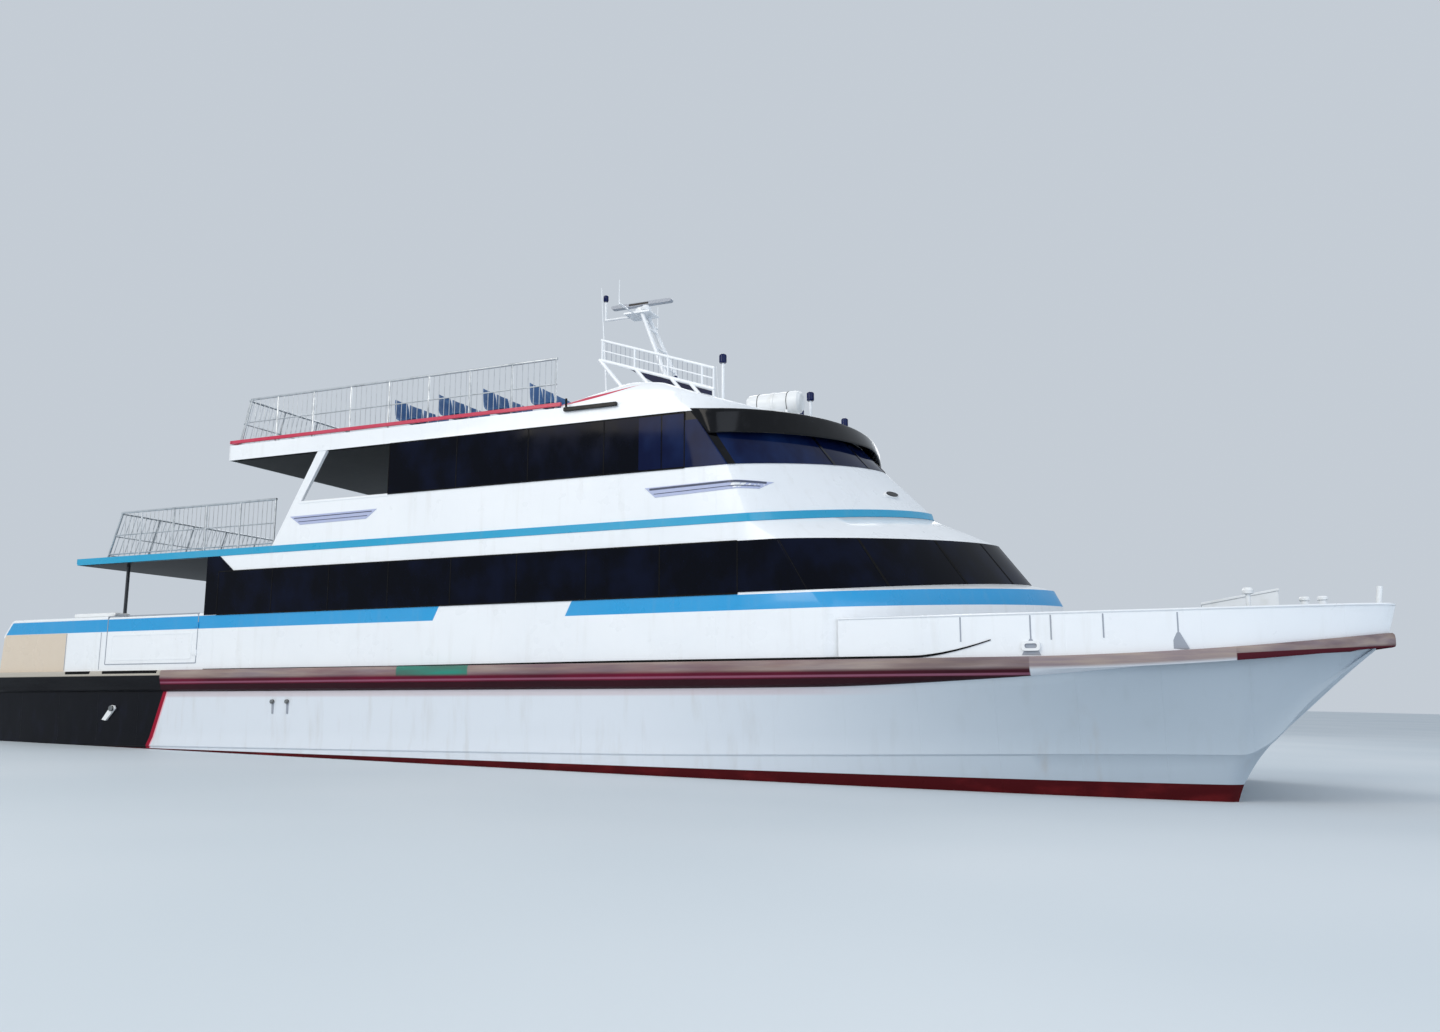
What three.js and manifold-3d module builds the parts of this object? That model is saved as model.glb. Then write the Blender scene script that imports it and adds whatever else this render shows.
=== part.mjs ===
// Passenger ferry: a 28 m aluminium catamaran with two enclosed decks and an open top deck.
// Millimetres. +X points to the bow, +Y to port, +Z up.
// The origin is amidships on the centreline, at the waterline.
import * as THREE from 'three';
import { mergeVertices } from 'three/addons/utils/BufferGeometryUtils.js';
import Module from 'manifold-3d';

const wasm = await Module();
wasm.setup();

// Driving dimensions: heights above the waterline
const GAP = 0.3;                 // clearance between neighbours that rest on each other
const DECK_UNDER = 1800;         // underside of the main deck plate
const DECK = 1900;               // main deck
const WET_DECK = 1150;           // roof of the tunnel between the hulls
const EAVE = 4260;               // underside of the upper deck
const UPPER_DECK = 4400;
const TOP_UNDER = 6300;          // underside of the top deck
const TOP_DECK = 6620;
const BULWARK_TOP = 2570;        // bow bulwark
const STERN_TOP = 3030;          // stern bulwark
const MAIN_SILL = 3030;
const MAIN_HEAD = 3930;
const UPPER_SILL = 5280;
const UPPER_HEAD = 6180;

// Driving dimensions: stations along the length
const TRANSOM = -14050;
const BOW_TIP = 13850;
const FORE_EDGE = 12900;         // front edge of the deck between the two bows
const SHEER_START = 8700;
const SHEER = 300;               // how far the deck rises to the bow tip
const HOUSE_AFT = -7890;
const SIDE_END = 4200;           // where the side walls end and the main nose starts
const UPPER_AFT = -11800;
const UPPER_WALL_AFT = -6150;    // foot of the raked strut
const UPPER_CABIN_AFT = -3240;
const UPPER_SIDE_END = 3200;     // where the upper side walls end and their nose starts
const TOP_AFT = -7450;
const ROOF_START = 640;

// Driving dimensions: breadths and thicknesses
const HALF = 4200;               // half beam at the side plating
const HULL_CENTRE = 2950;        // centreline of each hull, off the boat's centreline
const BRIDGE_HALF = 1700;        // half width of the structure between the hulls
const WALL = 70;
const BULWARK = 90;
const PANE = 12;
const PIPE = 25;                 // radius of the rails' pipes
const POST = 20;                 // radius of the posts under them
const RAKE = { upper: 360, top: 250 };   // how far the aft rails lean forward at the top
const PIPE_SIDES = 5;
const POST_SIDES = 4;

const COLOURS = {
  white: [0xf2f5f8, 0.35, 0], maroon: [0x6e0a2e, 0.5, 0], glass: [0x05070f, 0.08, 0],
  alloy: [0xb4b9be, 0.35, 0.9], grey: [0x7d858c, 0.7, 0], seat: [0x23425f, 0.8, 0],
  dark: [0x1a1c20, 0.6, 0],
};

const group = new THREE.Group();

// Adds one sub-part to the boat.
function add(name, geometry, colour) {
  const [color, roughness, metalness] = COLOURS[colour];
  const mesh = new THREE.Mesh(geometry, new THREE.MeshStandardMaterial({ color, roughness, metalness }));
  mesh.name = name;
  group.add(mesh);
}

// Closed triangle list to solid, and back.
function solid(geometry) {
  const bare = new THREE.BufferGeometry();
  bare.setAttribute('position', geometry.getAttribute('position').clone());
  if (geometry.index) bare.setIndex(geometry.index.clone());
  const merged = mergeVertices(bare, 1e-3);
  return new wasm.Manifold(new wasm.Mesh({
    numProp: 3,
    vertProperties: new Float32Array(merged.getAttribute('position').array),
    triVerts: new Uint32Array(merged.index.array),
  }));
}

function geometryOf(manifold) {
  const mesh = manifold.getMesh();
  const geometry = new THREE.BufferGeometry();
  geometry.setAttribute('position', new THREE.BufferAttribute(new Float32Array(mesh.vertProperties), 3));
  geometry.setIndex(new THREE.BufferAttribute(new Uint32Array(mesh.triVerts), 1));
  return geometry;
}

function cut(base, tools) {
  return geometryOf(tools.reduce((left, tool) => left.subtract(solid(tool)), solid(base)));
}

function join(pieces) {
  return geometryOf(pieces.slice(1).reduce((all, piece) => all.add(solid(piece)), solid(pieces[0])));
}

// Turns all faces round if the closed mesh is inside out.
function outward(points, faces) {
  let volume = 0;
  for (let f = 0; f < faces.length; f += 3) {
    const [a, b, c] = [points[faces[f]], points[faces[f + 1]], points[faces[f + 2]]];
    volume += a[0] * (b[1] * c[2] - b[2] * c[1]) + a[1] * (b[2] * c[0] - b[0] * c[2])
      + a[2] * (b[0] * c[1] - b[1] * c[0]);
  }
  if (volume < 0) {
    for (let f = 0; f < faces.length; f += 3) [faces[f], faces[f + 1]] = [faces[f + 1], faces[f]];
  }
}

// A closed skin through rings of equally many corners. Corner k of a ring lies across from
// corner (count - 1 - k), so that strips between such pairs close both ends.
function skin(rings) {
  const count = rings[0].length;
  const points = rings.flat();
  const faces = [];
  for (let r = 0; r + 1 < rings.length; r++) {
    for (let c = 0; c < count; c++) {
      const d = (c + 1) % count;
      const [hc, hd, nc, nd] = [r * count + c, r * count + d, (r + 1) * count + c, (r + 1) * count + d];
      if (points[hc][2] <= points[hd][2]) faces.push(hc, nc, nd, hc, nd, hd);
      else faces.push(hc, nc, hd, nc, nd, hd);
    }
  }
  const end = (rings.length - 1) * count;
  for (let k = 0; k < count / 2 - 1; k++) {
    const [a, b, c, d] = [k, k + 1, count - 2 - k, count - 1 - k];
    faces.push(a, b, c, a, c, d);
    faces.push(end + c, end + b, end + a, end + d, end + c, end + a);
  }
  outward(points, faces);
  const geometry = new THREE.BufferGeometry();
  geometry.setAttribute('position', new THREE.Float32BufferAttribute(points.flat(), 3));
  geometry.setIndex(faces);
  return geometry;
}

// The same geometry on the other side of the centreline, faces still outward.
function mirrored(geometry) {
  const copy = geometry.clone();
  copy.scale(1, -1, 1);
  const index = copy.index ?? new THREE.BufferAttribute(
    Uint32Array.from({ length: copy.getAttribute('position').count }, (_, i) => i), 1);
  const faces = Array.from(index.array);
  for (let f = 0; f < faces.length; f += 3) [faces[f], faces[f + 1]] = [faces[f + 1], faces[f]];
  copy.setIndex(faces);
  return copy;
}

function addPair(name, geometry, colour) {
  add(`${name}_starboard`, geometry, colour);
  add(`${name}_port`, mirrored(geometry), colour);
}

function box(x0, x1, y0, y1, z0, z1) {
  const geometry = new THREE.BoxGeometry(x1 - x0, y1 - y0, z1 - z0);
  return geometry.translate((x0 + x1) / 2, (y0 + y1) / 2, (z0 + z1) / 2);
}

// A flat upright plate: an outline of [x, z] corners, carried across the boat between two y.
function plate(outline, from, to) {
  const shape = new THREE.Shape(outline.map(([x, z]) => new THREE.Vector2(x, z)));
  const geometry = new THREE.ExtrudeGeometry(shape, { depth: to - from, bevelEnabled: false });
  return geometry.applyMatrix4(new THREE.Matrix4().set(1, 0, 0, 0, 0, 0, -1, to, 0, 1, 0, 0, 0, 0, 0, 1));
}

// A straight round bar between two points.
function bar(from, to, radius = PIPE, sides = PIPE_SIDES) {
  const [a, b] = [new THREE.Vector3(...from), new THREE.Vector3(...to)];
  const along = b.clone().sub(a);
  const geometry = new THREE.CylinderGeometry(radius, radius, along.length(), sides);
  const turn = new THREE.Quaternion().setFromUnitVectors(new THREE.Vector3(0, 1, 0), along.clone().normalize());
  geometry.applyQuaternion(turn);
  const middle = a.add(b).multiplyScalar(0.5);
  return geometry.translate(middle.x, middle.y, middle.z);
}

// Unit vectors to the right of each point of a path in plan.
function rightOf(path) {
  return path.map((_, i) => {
    const before = path[Math.max(i - 1, 0)];
    const after = path[Math.min(i + 1, path.length - 1)];
    const [dx, dy] = [after[0] - before[0], after[1] - before[1]];
    const length = Math.hypot(dx, dy);
    return [dy / length, -dx / length];
  });
}

// Carries a profile along a path in plan. profile(x, i) gives corners [distance to the right, height].
function sweep(path, profile) {
  const right = rightOf(path);
  return skin(path.map(([x, y], i) => profile(x, i).map(
    ([out, z]) => [x + right[i][0] * out, y + right[i][1] * out, z])));
}

// Height that the deck gains towards the bow, straight between the stations of the hull table.
function curvedSheer(x) {
  return x < SHEER_START ? 0 : SHEER * ((x - SHEER_START) / (BOW_TIP - SHEER_START)) ** 2;
}

function between(x, stations, value) {
  const last = stations.length - 1;
  if (x <= stations[0]) return value(stations[0]);
  if (x >= stations[last]) return value(stations[last]);
  const i = stations.findIndex((s) => s >= x);
  const share = (x - stations[i - 1]) / (stations[i] - stations[i - 1]);
  return value(stations[i - 1]) * (1 - share) + value(stations[i]) * share;
}

// Hull stations. Columns: x, keel height, bilge height and half breadth, knuckle height and
// half breadth, lower edge of the rub rail, half breadth of the hull at the deck.
const HULL = [
  [TRANSOM, -700, -420, 1120, 350, 1215, 1450, 1250],
  [-10000, -1000, -560, 1110, 350, 1215, 1450, 1250],
  [-4000, -1350, -680, 1040, 350, 1200, 1450, 1250],
  [2000, -1400, -700, 960, 360, 1150, 1450, 1250],
  [5500, -1400, -680, 800, 400, 1040, 1460, 1250],
  [SHEER_START, -1380, -620, 520, 450, 810, 1590, 1250],
  [10000, -1260, -560, 350, 465, 640, 1690, 1175],
  [11000, -1020, -440, 215, 470, 480, 1780, 1040],
  [11600, -620, -250, 120, 470, 370, 1830, 920],
  [11830, 0, 100, 70, 470, 320, 1850, 865],
  [12150, 500, 540, 50, 600, 230, 1870, 775],
  [12800, 1140, 1180, 50, 1260, 190, 1900, 570],
  [13400, 1700, 1730, 50, 1780, 140, 1930, 330],
  [13700, 1960, 1980, 45, 2000, 60, 2020, 160],
];
const KEEL_HALF = 40;
const STATIONS = [...HULL.map((row) => row[0]), BOW_TIP];
const TIP_HALF = 60;
const TIP_RUB = 2060;
const hullValue = (column, atTip) => (x) => between(x, STATIONS,
  (s) => (s === BOW_TIP ? atTip : HULL.find((row) => row[0] === s)[column]));
const deckHalf = hullValue(7, TIP_HALF);
const rubLow = hullValue(6, TIP_RUB);
const sheer = (x) => between(x, STATIONS, curvedSheer);

// One closed hull, decked over, with its raked stem.
function hull() {
  const rings = HULL.map(([x, keel, bilgeZ, bilge, knuckleZ, knuckle, rub, deck]) => {
    const half = [[deck, DECK_UNDER + sheer(x) - GAP], [deck, rub],
      [knuckle, knuckleZ], [bilge, bilgeZ], [KEEL_HALF, keel]];
    const outer = half.map(([b, z]) => [x, -HULL_CENTRE - b, z]);
    const inner = half.map(([b, z]) => [x, -HULL_CENTRE + b, z]).reverse();
    return [...outer, ...inner];
  });
  return skin(rings);
}

// Water jets: a fixed casing on each transom, a nozzle that steers and a bucket that reverses.
const JET = {
  z: -60,                       // height of the jet's axis
  casingEnd: TRANSOM - 420,
  nozzleAxis: TRANSOM - 560,    // upright pins of the nozzle
  nozzleEnd: TRANSOM - 950,
  flange: 390,                  // radii from here
  casing: 330,
  casingMouth: 240,
  bore: 200,
  nozzleFront: 215,
  nozzleMouth: 190,
  nozzleWall: 32,
  ear: [232, 265],              // the ears that hold the pins: from and to, off the axis
  bucketPin: { x: TRANSOM - 745, z: 270 },
  lug: [160, 210],              // sideways off the axis: lugs on the nozzle
  cheek: [225, 255],            // and the bucket's cheeks outside them
};

function lathe(profile, sides) {
  const points = profile.map(([radius, along]) => new THREE.Vector2(radius, along));
  return new THREE.LatheGeometry(points, sides);
}

// Two copies of one shape, above and below the jet's axis or to its two sides.
const twice = (make) => [1, -1].map(make);
function span(middle, side, [from, to]) {
  return side > 0 ? [middle + from, middle + to] : [middle - to, middle - from];
}

// Cone of the casing, open at its aft end, with the two ears that hold the nozzle's pins.
function jetCasing() {
  const depth = TRANSOM - JET.casingEnd;
  const cone = lathe([
    [0, -120], [JET.flange, -120], [JET.flange, 60], [JET.casing, 80], [JET.casingMouth, depth],
    [JET.bore, depth], [JET.bore, depth - 160], [0, depth - 160]], 12);
  cone.rotateZ(Math.PI / 2).translate(TRANSOM, -HULL_CENTRE, JET.z);
  const ears = twice((side) => box(JET.nozzleAxis - 60, JET.casingEnd + 60,
    -HULL_CENTRE - 70, -HULL_CENTRE + 70, ...span(JET.z, side, JET.ear)));
  return join([cone, ...ears]);
}

function jetNozzle() {
  const length = JET.nozzleAxis + 20 - JET.nozzleEnd;
  const sleeve = lathe([
    [JET.nozzleFront - JET.nozzleWall, 0], [JET.nozzleFront, 0], [JET.nozzleMouth, length],
    [JET.nozzleMouth - JET.nozzleWall, length], [JET.nozzleFront - JET.nozzleWall, 0]], 12);
  sleeve.rotateZ(Math.PI / 2).translate(JET.nozzleAxis + 20, -HULL_CENTRE, JET.z);
  const pins = twice((side) => bar([JET.nozzleAxis, -HULL_CENTRE, JET.z + side * (JET.nozzleMouth + 5)],
    [JET.nozzleAxis, -HULL_CENTRE, JET.z + side * (JET.ear[0] - GAP)], 45, 10));
  const { x, z } = JET.bucketPin;
  const lugs = twice((side) => box(x - 55, x + 55, ...span(-HULL_CENTRE, side, JET.lug), JET.z + 90, z + 50));
  return join([sleeve, ...pins, ...lugs]);
}

// Curved plate above and behind the nozzle, held by two cheeks that hang on pins outside the lugs.
function jetBucket() {
  const { x, z } = JET.bucketPin;
  const hoodTop = [[-435, 40], [-385, 130], [-205, 110]];
  const arm = [[-55, 50], [55, 50], [55, -50], [-265, -60], ...hoodTop].map(([dx, dz]) => [x + dx, z + dz]);
  const cheeks = twice((side) => plate(arm, ...span(-HULL_CENTRE, side, JET.cheek)));
  const hood = [...hoodTop, [-205, 80], [-370, 95], [-410, 40]].map(([dx, dz]) => [x + dx, z + dz]);
  const pins = twice((side) => bar([x, -HULL_CENTRE + side * (JET.lug[1] + GAP), z],
    [x, -HULL_CENTRE + side * (JET.cheek[0] + 5), z], 30, 10));
  const half = JET.cheek[0] + 5;
  return join([...cheeks, ...pins, plate(hood, -HULL_CENTRE - half, -HULL_CENTRE + half)]);
}

// Structure between the hulls, under the deck plate, between two stations.
function bridgeDeck(from, to) {
  const half = BRIDGE_HALF - GAP;
  const stations = STATIONS.filter((x) => x >= from && x <= to);
  const nose = [11000, FORE_EDGE - 100];
  return skin(stations.map((x) => {
    const low = x < nose[0] ? WET_DECK : WET_DECK + 450 * (x - nose[0]) / (nose[1] - nose[0]);
    const high = DECK_UNDER + sheer(x) - GAP;
    return [[x, -half, high], [x, -half, low], [x, half, low], [x, half, high]];
  }));
}

// Deck plate: full width up to the fore edge, then a tongue over each bow.
function mainDeck() {
  const ring = (x, y0, y1) => {
    const [low, high] = [DECK_UNDER + sheer(x), DECK + sheer(x)];
    return [[x, y0, high], [x, y0, low], [x, y1, low], [x, y1, high]];
  };
  const stations = [...STATIONS.filter((x) => x <= 12800), FORE_EDGE];
  const outer = (x) => -HULL_CENTRE - deckHalf(x);
  const field = skin(stations.map((x) => ring(x, outer(x), -outer(x))));
  const tongue = skin([12800, FORE_EDGE, 13400, 13700, BOW_TIP].map((x) => ring(x, outer(x), innerEdge(x))));
  return join([field, tongue, mirrored(tongue)]);
}

// Inner edge of the deck at the starboard bow.
function innerEdge(x) {
  const share = Math.max(0, (x - FORE_EDGE) / (BOW_TIP - FORE_EDGE));
  return -BRIDGE_HALF + (-HULL_CENTRE + TIP_HALF + BRIDGE_HALF) * share;
}

// Edge of the starboard deck in plan, from its first stations to the bow tip, and back inside
// to the fore edge.
function deckEdge(first, back) {
  const from = first[first.length - 1];
  const stations = [...first, ...STATIONS.filter((x) => x > from)];
  const outside = stations.map((x) => [x, -HULL_CENTRE - deckHalf(x)]);
  const inside = [BOW_TIP, 13700, 13400].map((x) => [x, innerEdge(x)]);
  if (!back) return [...outside, ...inside.slice(0, 2)];
  return [...outside, ...inside, [FORE_EDGE + 60, -BRIDGE_HALF - 80]];
}

function rubRail() {
  const path = deckEdge([TRANSOM], false);
  return sweep(path, (x) => {
    const [low, high] = [rubLow(x), DECK + sheer(x)];
    return [[GAP, low], [70, low + 40], [130, high - 170], [130, high - 60], [90, high], [GAP, high]];
  });
}

// Bow bulwark of the starboard side, round the bow to the fore edge. It starts as a thin wedge
// where the nose of the deckhouse leaves the ship's side, and leans out at the tip.
const BULWARK_START = [5950, 6300, 7000];
function bowBulwark() {
  const lean = (x) => 180 * Math.max(0, (x - 11000) / (BOW_TIP - 11000));
  return sweep(deckEdge(BULWARK_START, true), (x) => {
    const low = DECK + sheer(x) + GAP + lean(x) * 0.03;
    const high = BULWARK_TOP + 0.2 * sheer(x);
    const thick = Math.min(BULWARK, HALF - levelHalf(LEVELS.bandLow, x) - 10 * GAP);
    return [[lean(x) * 0.2, low], [lean(x), high], [lean(x) - thick, high], [lean(x) * 0.2 - thick, low]];
  });
}

// Stern bulwark: slanted at the transom, with the gap for the side gate. A stay holds the post
// that carries the overhang of the upper deck.
const STERN_POST = [-10740, -3760];
const GATE = [-10680, -8040];
const GATE_LOW = 2050;
function sternSide() {
  const outline = [[TRANSOM, DECK + GAP], [TRANSOM + 60, 2700], [-13760, STERN_TOP], [GATE[0] - 15, STERN_TOP],
    [GATE[0] - 15, GATE_LOW - 15], [GATE[1] + 15, GATE_LOW - 15], [GATE[1] + 15, STERN_TOP],
    [HOUSE_AFT - GAP, STERN_TOP], [HOUSE_AFT - GAP, DECK + GAP]];
  const [x, y] = STERN_POST;
  const post = bar([x, y, DECK + GAP], [x, y, EAVE - GAP], 38, 8);
  const stay = bar([x, -HALF + BULWARK / 2, 2560], [x, y, 2560], 22);
  return join([plate(outline, -HALF, -HALF + BULWARK), post, stay]);
}

// Barrels of a door's hinges, upright at (x, y), each with a strap that is fixed to the door.
// strap: its x and y, from and to.
const BARREL = 12;
function hinges(x, y, strap, heights) {
  return heights.flatMap((z) => [
    bar([x, y, z - 60], [x, y, z + 60], BARREL, 12), box(...strap, z - 45, z + 45)]);
}

// The gate swings outboard on hinges at its forward end.
function gate() {
  const panel = box(GATE[0], GATE[1], -HALF, -HALF + 60, GATE_LOW, STERN_TOP);
  const ribs = [0.25, 0.5, 0.75].map((share) => {
    const x = GATE[0] + (GATE[1] - GATE[0]) * share;
    return box(x - 30, x + 30, -HALF + 55, -HALF + 85, GATE_LOW + 40, STERN_TOP - 40);
  });
  const barrels = hinges(GATE[1] + 18, -HALF - BARREL - GAP,
    [GATE[1] - 110, GATE[1] + 11, -HALF - BARREL, -HALF + 10], [2250, 2830]);
  return join([panel, ...ribs, ...barrels]);
}

// Plan curves of the two deckhouses. Columns: height at the side, where the nose curve starts,
// its tip, how far the line rises from the side to the tip, and the power that flattens the curve
// between its corner at the side and its tip: 1 gives half an ellipse, 2 two straight lines.
const LEVELS = {
  foot: [DECK + GAP, 5700, 9000, 6, 1.5],
  bandLow: [2750, 5700, 9020, 220, 1.5],
  band: [3010, 5500, 8870, 260, 1.5],
  sill: [3050, 5400, 8450, 340, 1.5],
  head: [MAIN_HEAD, 4900, 7860, 240, 1.5],
  eave: [EAVE - 1, 4380, 6640, 480, 1.5],
  deckLow: [EAVE, 4380, 6640, 480, 1.5],
  deckHigh: [UPPER_DECK, 4360, 6600, 470, 1.5],
  upperFoot: [UPPER_DECK + GAP, 4350, 6590, 470, 1.5],
  upperSill: [UPPER_SILL, 4000, 5680, 500, 1.5],
  upperHead: [TOP_UNDER - 1, 3300, 5150, 60, 1.3],
  topLow: [TOP_UNDER, 3300, 5150, 60, 1.3],
  topHigh: [TOP_DECK, 2900, 5100, -180, 1.3],
  browLow: [5820, 3700, 5450, 410, 1.35],
  browHigh: [TOP_UNDER, 3500, 5290, 290, 1.1],
};
// Corners of the nose curve: angles off the tip on one side. None sits on the centreline.
const HALF_ANGLES = [90, 84, 60, 56, 38, 34, 20, 16, 2];
const ANGLES = [...HALF_ANGLES.map((a) => -a), ...[...HALF_ANGLES].reverse()].map((a) => a * Math.PI / 180);
const NOSE_END = ANGLES.length + 1;
// Panes round the nose: the corners of the curve that each one spans.
const NOSE_PANES = [2, 4, 6, 8, 10, 12, 14, 16].map((first) => [first, first + 1]);

// Plan curve of one level from x = from on the starboard side round the nose to port.
function noseCurve(level, from) {
  const [z, start, tip, rise, power] = Array.isArray(level) ? level : LEVELS[level];
  const arc = ANGLES.map((angle) => {
    const [ahead, aside] = [Math.max(0, Math.cos(angle)), Math.abs(Math.sin(angle))];
    return [start + (tip - start) * ahead ** power, Math.sign(angle) * HALF * aside ** power,
      z + rise * ahead * ahead];
  });
  return [[from, -HALF, z], ...arc, [from, HALF, z]];
}

// Half breadth of a level's plan curve at x.
function levelHalf([, start, tip, , power], x) {
  const ahead = Math.max(0, (x - start) / (tip - start)) ** (1 / power);
  return HALF * Math.sqrt(Math.max(0, 1 - ahead * ahead)) ** power;
}

// Level between two others.
function mix(a, b, share) {
  return LEVELS[a].map((value, i) => value * (1 - share) + LEVELS[b][i] * share);
}

// Where the brow over the wheelhouse covers the glass.
const underBrow = () => mix('upperSill', 'upperHead', 0.84);

// A wall along the nose: its outer corners follow the levels, its inner ones lie further in.
// The inner top edge is lower by TOP_DROP, to clear the deck above, which falls away aft.
const TOP_DROP = 30;
function noseWall(levels, from, outside, inside, first = 0, last = NOSE_END) {
  const curves = levels.map((level) => noseCurve(level, from));
  const normals = curves.map((curve) => rightOf(curve));
  const top = levels.length - 1;
  const rings = [];
  for (let i = first; i <= last; i++) {
    const corner = (k, out, drop) => {
      const [x, y, z] = curves[k][i];
      const [nx, ny] = i === 0 || i === NOSE_END ? [0, Math.sign(y)] : normals[k][i];
      return [x + nx * out, y + ny * out, z - drop];
    };
    const outer = levels.map((_, k) => corner(k, outside, 0));
    const inner = levels.map((_, k) => corner(k, inside, k === top && inside < 0 ? TOP_DROP : 0)).reverse();
    rings.push([...outer, ...inner]);
  }
  return skin(rings);
}

// Window openings in a nose wall: the steps of the curve that each pane spans.
function nosePanes(low, high, from) {
  const levels = [mix(low, high, 0.06), mix(low, high, 0.94)];
  return NOSE_PANES.map(([first, last]) => noseWall(levels, from, 60, -150, first, last));
}

function sideWindows(first, last, count, low, high) {
  const pitch = (last - first) / count;
  return Array.from({ length: count }, (_, i) => box(
    first + pitch * i + 60, first + pitch * (i + 1) - 60, -HALF - 50, -HALF + WALL + 50, low, high));
}

function houseSide() {
  const wall = box(HOUSE_AFT, SIDE_END, -HALF, -HALF + WALL, DECK + GAP, EAVE - GAP);
  return cut(wall, sideWindows(-7500, SIDE_END - 40, 8, MAIN_SILL + 50, MAIN_HEAD - 50));
}

function houseFront() {
  const wall = noseWall(['foot', 'bandLow', 'band', 'sill', 'head', 'eave'], SIDE_END + GAP, 0, -WALL);
  const straight = sideWindows(SIDE_END + 20, LEVELS.head[1] - 40, 1, MAIN_SILL + 50, MAIN_HEAD - 50);
  return cut(wall, [...nosePanes('sill', 'head', SIDE_END + GAP), ...straight, ...straight.map(mirrored)]);
}

// Transverse bulkhead with a doorway; lining up inside the side walls.
function bulkhead(x, low, high, doorHalf, doorTop) {
  const half = HALF - WALL - GAP;
  const wall = box(x, x + WALL, -half, half, low + GAP, high - GAP);
  return cut(wall, [box(x - 50, x + WALL + 50, -doorHalf, doorHalf, low - 50, doorTop)]);
}

// Door leaf between y0 and y1 in the bulkhead at x. It hangs on hinges at y0 and opens aft.
const MAIN_DOOR = { half: 900, top: DECK + 1980 };
const UPPER_DOOR = { half: 430, top: UPPER_DECK + 1750 };
function doorLeaf(x, y0, y1, low, high) {
  const leaf = box(x + 10, x + WALL - 10, y0, y1, low, high);
  const middle = (low + high) / 2;
  const handle = box(x - 40, x + 15, y1 - 110, y1 - 80, middle - 120, middle + 120);
  const barrels = hinges(x - BARREL - GAP, y0 - 10,
    [x - BARREL, x + 15, y0 - 4, y0 + 80], [low + 250, high - 250]);
  return join([leaf, handle, ...barrels]);
}

function upperDeck() {
  const slab = skin([noseCurve('deckLow', UPPER_AFT), noseCurve('deckHigh', UPPER_AFT)]);
  return cut(slab, [box(STAIR.main.hole[0], STAIR.main.hole[1], STAIR.main.y0 - 60, STAIR.main.y1 + 60,
    EAVE - 100, UPPER_DECK + 100)]);
}

function topDeck() {
  const slab = skin([noseCurve('topLow', TOP_AFT), noseCurve('topHigh', TOP_AFT)]);
  return cut(slab, [box(STAIR.upper.hole[0], STAIR.upper.hole[1], STAIR.upper.y0 - 60, STAIR.upper.y1 + 60,
    TOP_UNDER - 100, TOP_DECK + 100)]);
}

// Side of the upper deck: raked strut, open bulwark, then the cabin wall with its windows.
function upperSide() {
  const strut = 230;
  const outline = [
    [UPPER_WALL_AFT, UPPER_DECK + GAP], [-5080, TOP_UNDER - GAP], [-5080 + strut, TOP_UNDER - GAP],
    [-5470, UPPER_SILL - 30], [UPPER_CABIN_AFT, UPPER_SILL - 30], [UPPER_CABIN_AFT, TOP_UNDER - GAP],
    [UPPER_SIDE_END, TOP_UNDER - GAP], [UPPER_SIDE_END, UPPER_DECK + GAP]];
  return cut(plate(outline, -HALF, -HALF + WALL),
    sideWindows(UPPER_CABIN_AFT + 80, UPPER_SIDE_END - 40, 4, UPPER_SILL + 40, UPPER_HEAD));
}

function upperFront() {
  const wall = noseWall(['upperFoot', 'upperSill', underBrow(), 'upperHead'], UPPER_SIDE_END + GAP, 0, -WALL);
  return cut(wall, nosePanes('upperSill', 'upperHead', UPPER_SIDE_END + GAP));
}

// Black brow over the wheelhouse windows. It hangs on the edge of the top deck, and its lip
// stands out furthest at the tip.
const BROW_LIP = 40;
const BROW_ROOT = [0, 50];      // where it hangs, above the underside of the top deck
function visor() {
  const [root, low, high] = ['topLow', 'browLow', 'browHigh'].map((level) => noseCurve(level, 0).slice(1, -1));
  const right = rightOf(root);
  const at = ([x, y], i, out, z) => [x + right[i][0] * out, y + right[i][1] * out, z];
  return skin(root.map((point, i) => [
    at(point, i, 2 * GAP, point[2] + BROW_ROOT[0]), at(low[i], i, BROW_LIP, low[i][2]),
    at(high[i], i, BROW_LIP, high[i][2]), at(point, i, 2 * GAP, point[2] + BROW_ROOT[1])]));
}

// Raised roof over the wheelhouse. Columns: x, height above the top deck.
// One station lies where the deck's edge starts to fall.
const ROOF = [
  [ROOF_START, 130], [1400, 300], [2050, 420], [2600, 360], [LEVELS.topHigh[1], 250],
  [3300, 130], [3900, 50], [4600, 20]];
function roofBase(x) {
  const [height, start, tip, rise, power] = LEVELS.topHigh;
  return height + GAP + (x < start ? 0 : 6 + rise * ((x - start) / (tip - start)) ** (2 / power));
}
function roof() {
  return skin(ROOF.map(([x, height]) => {
    const half = levelHalf(LEVELS.topHigh, x) - 60;
    const shoulder = Math.min(300, half * 0.4);
    const base = roofBase(x);
    const side = [[-half, base], [-half + 30, base + height * 0.6], [-half + shoulder, base + height]];
    return [...side.map(([y, z]) => [x, y, z]), ...side.map(([y, z]) => [x, -y, z]).reverse()];
  }));
}
function roofTop(x) {
  return between(x, ROOF.map((row) => row[0]), (s) => roofBase(s) + ROOF.find((row) => row[0] === s)[1]);
}

// Foot plate that lies on the sloping roof.
function roofPad(x, y, half) {
  const [aft, fore] = [x - half, x + half];
  return plate([[aft, roofTop(aft) + GAP], [fore, roofTop(fore) + GAP],
    [fore, roofTop(fore) + 20], [aft, roofTop(aft) + 20]], y - half, y + half);
}

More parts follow.
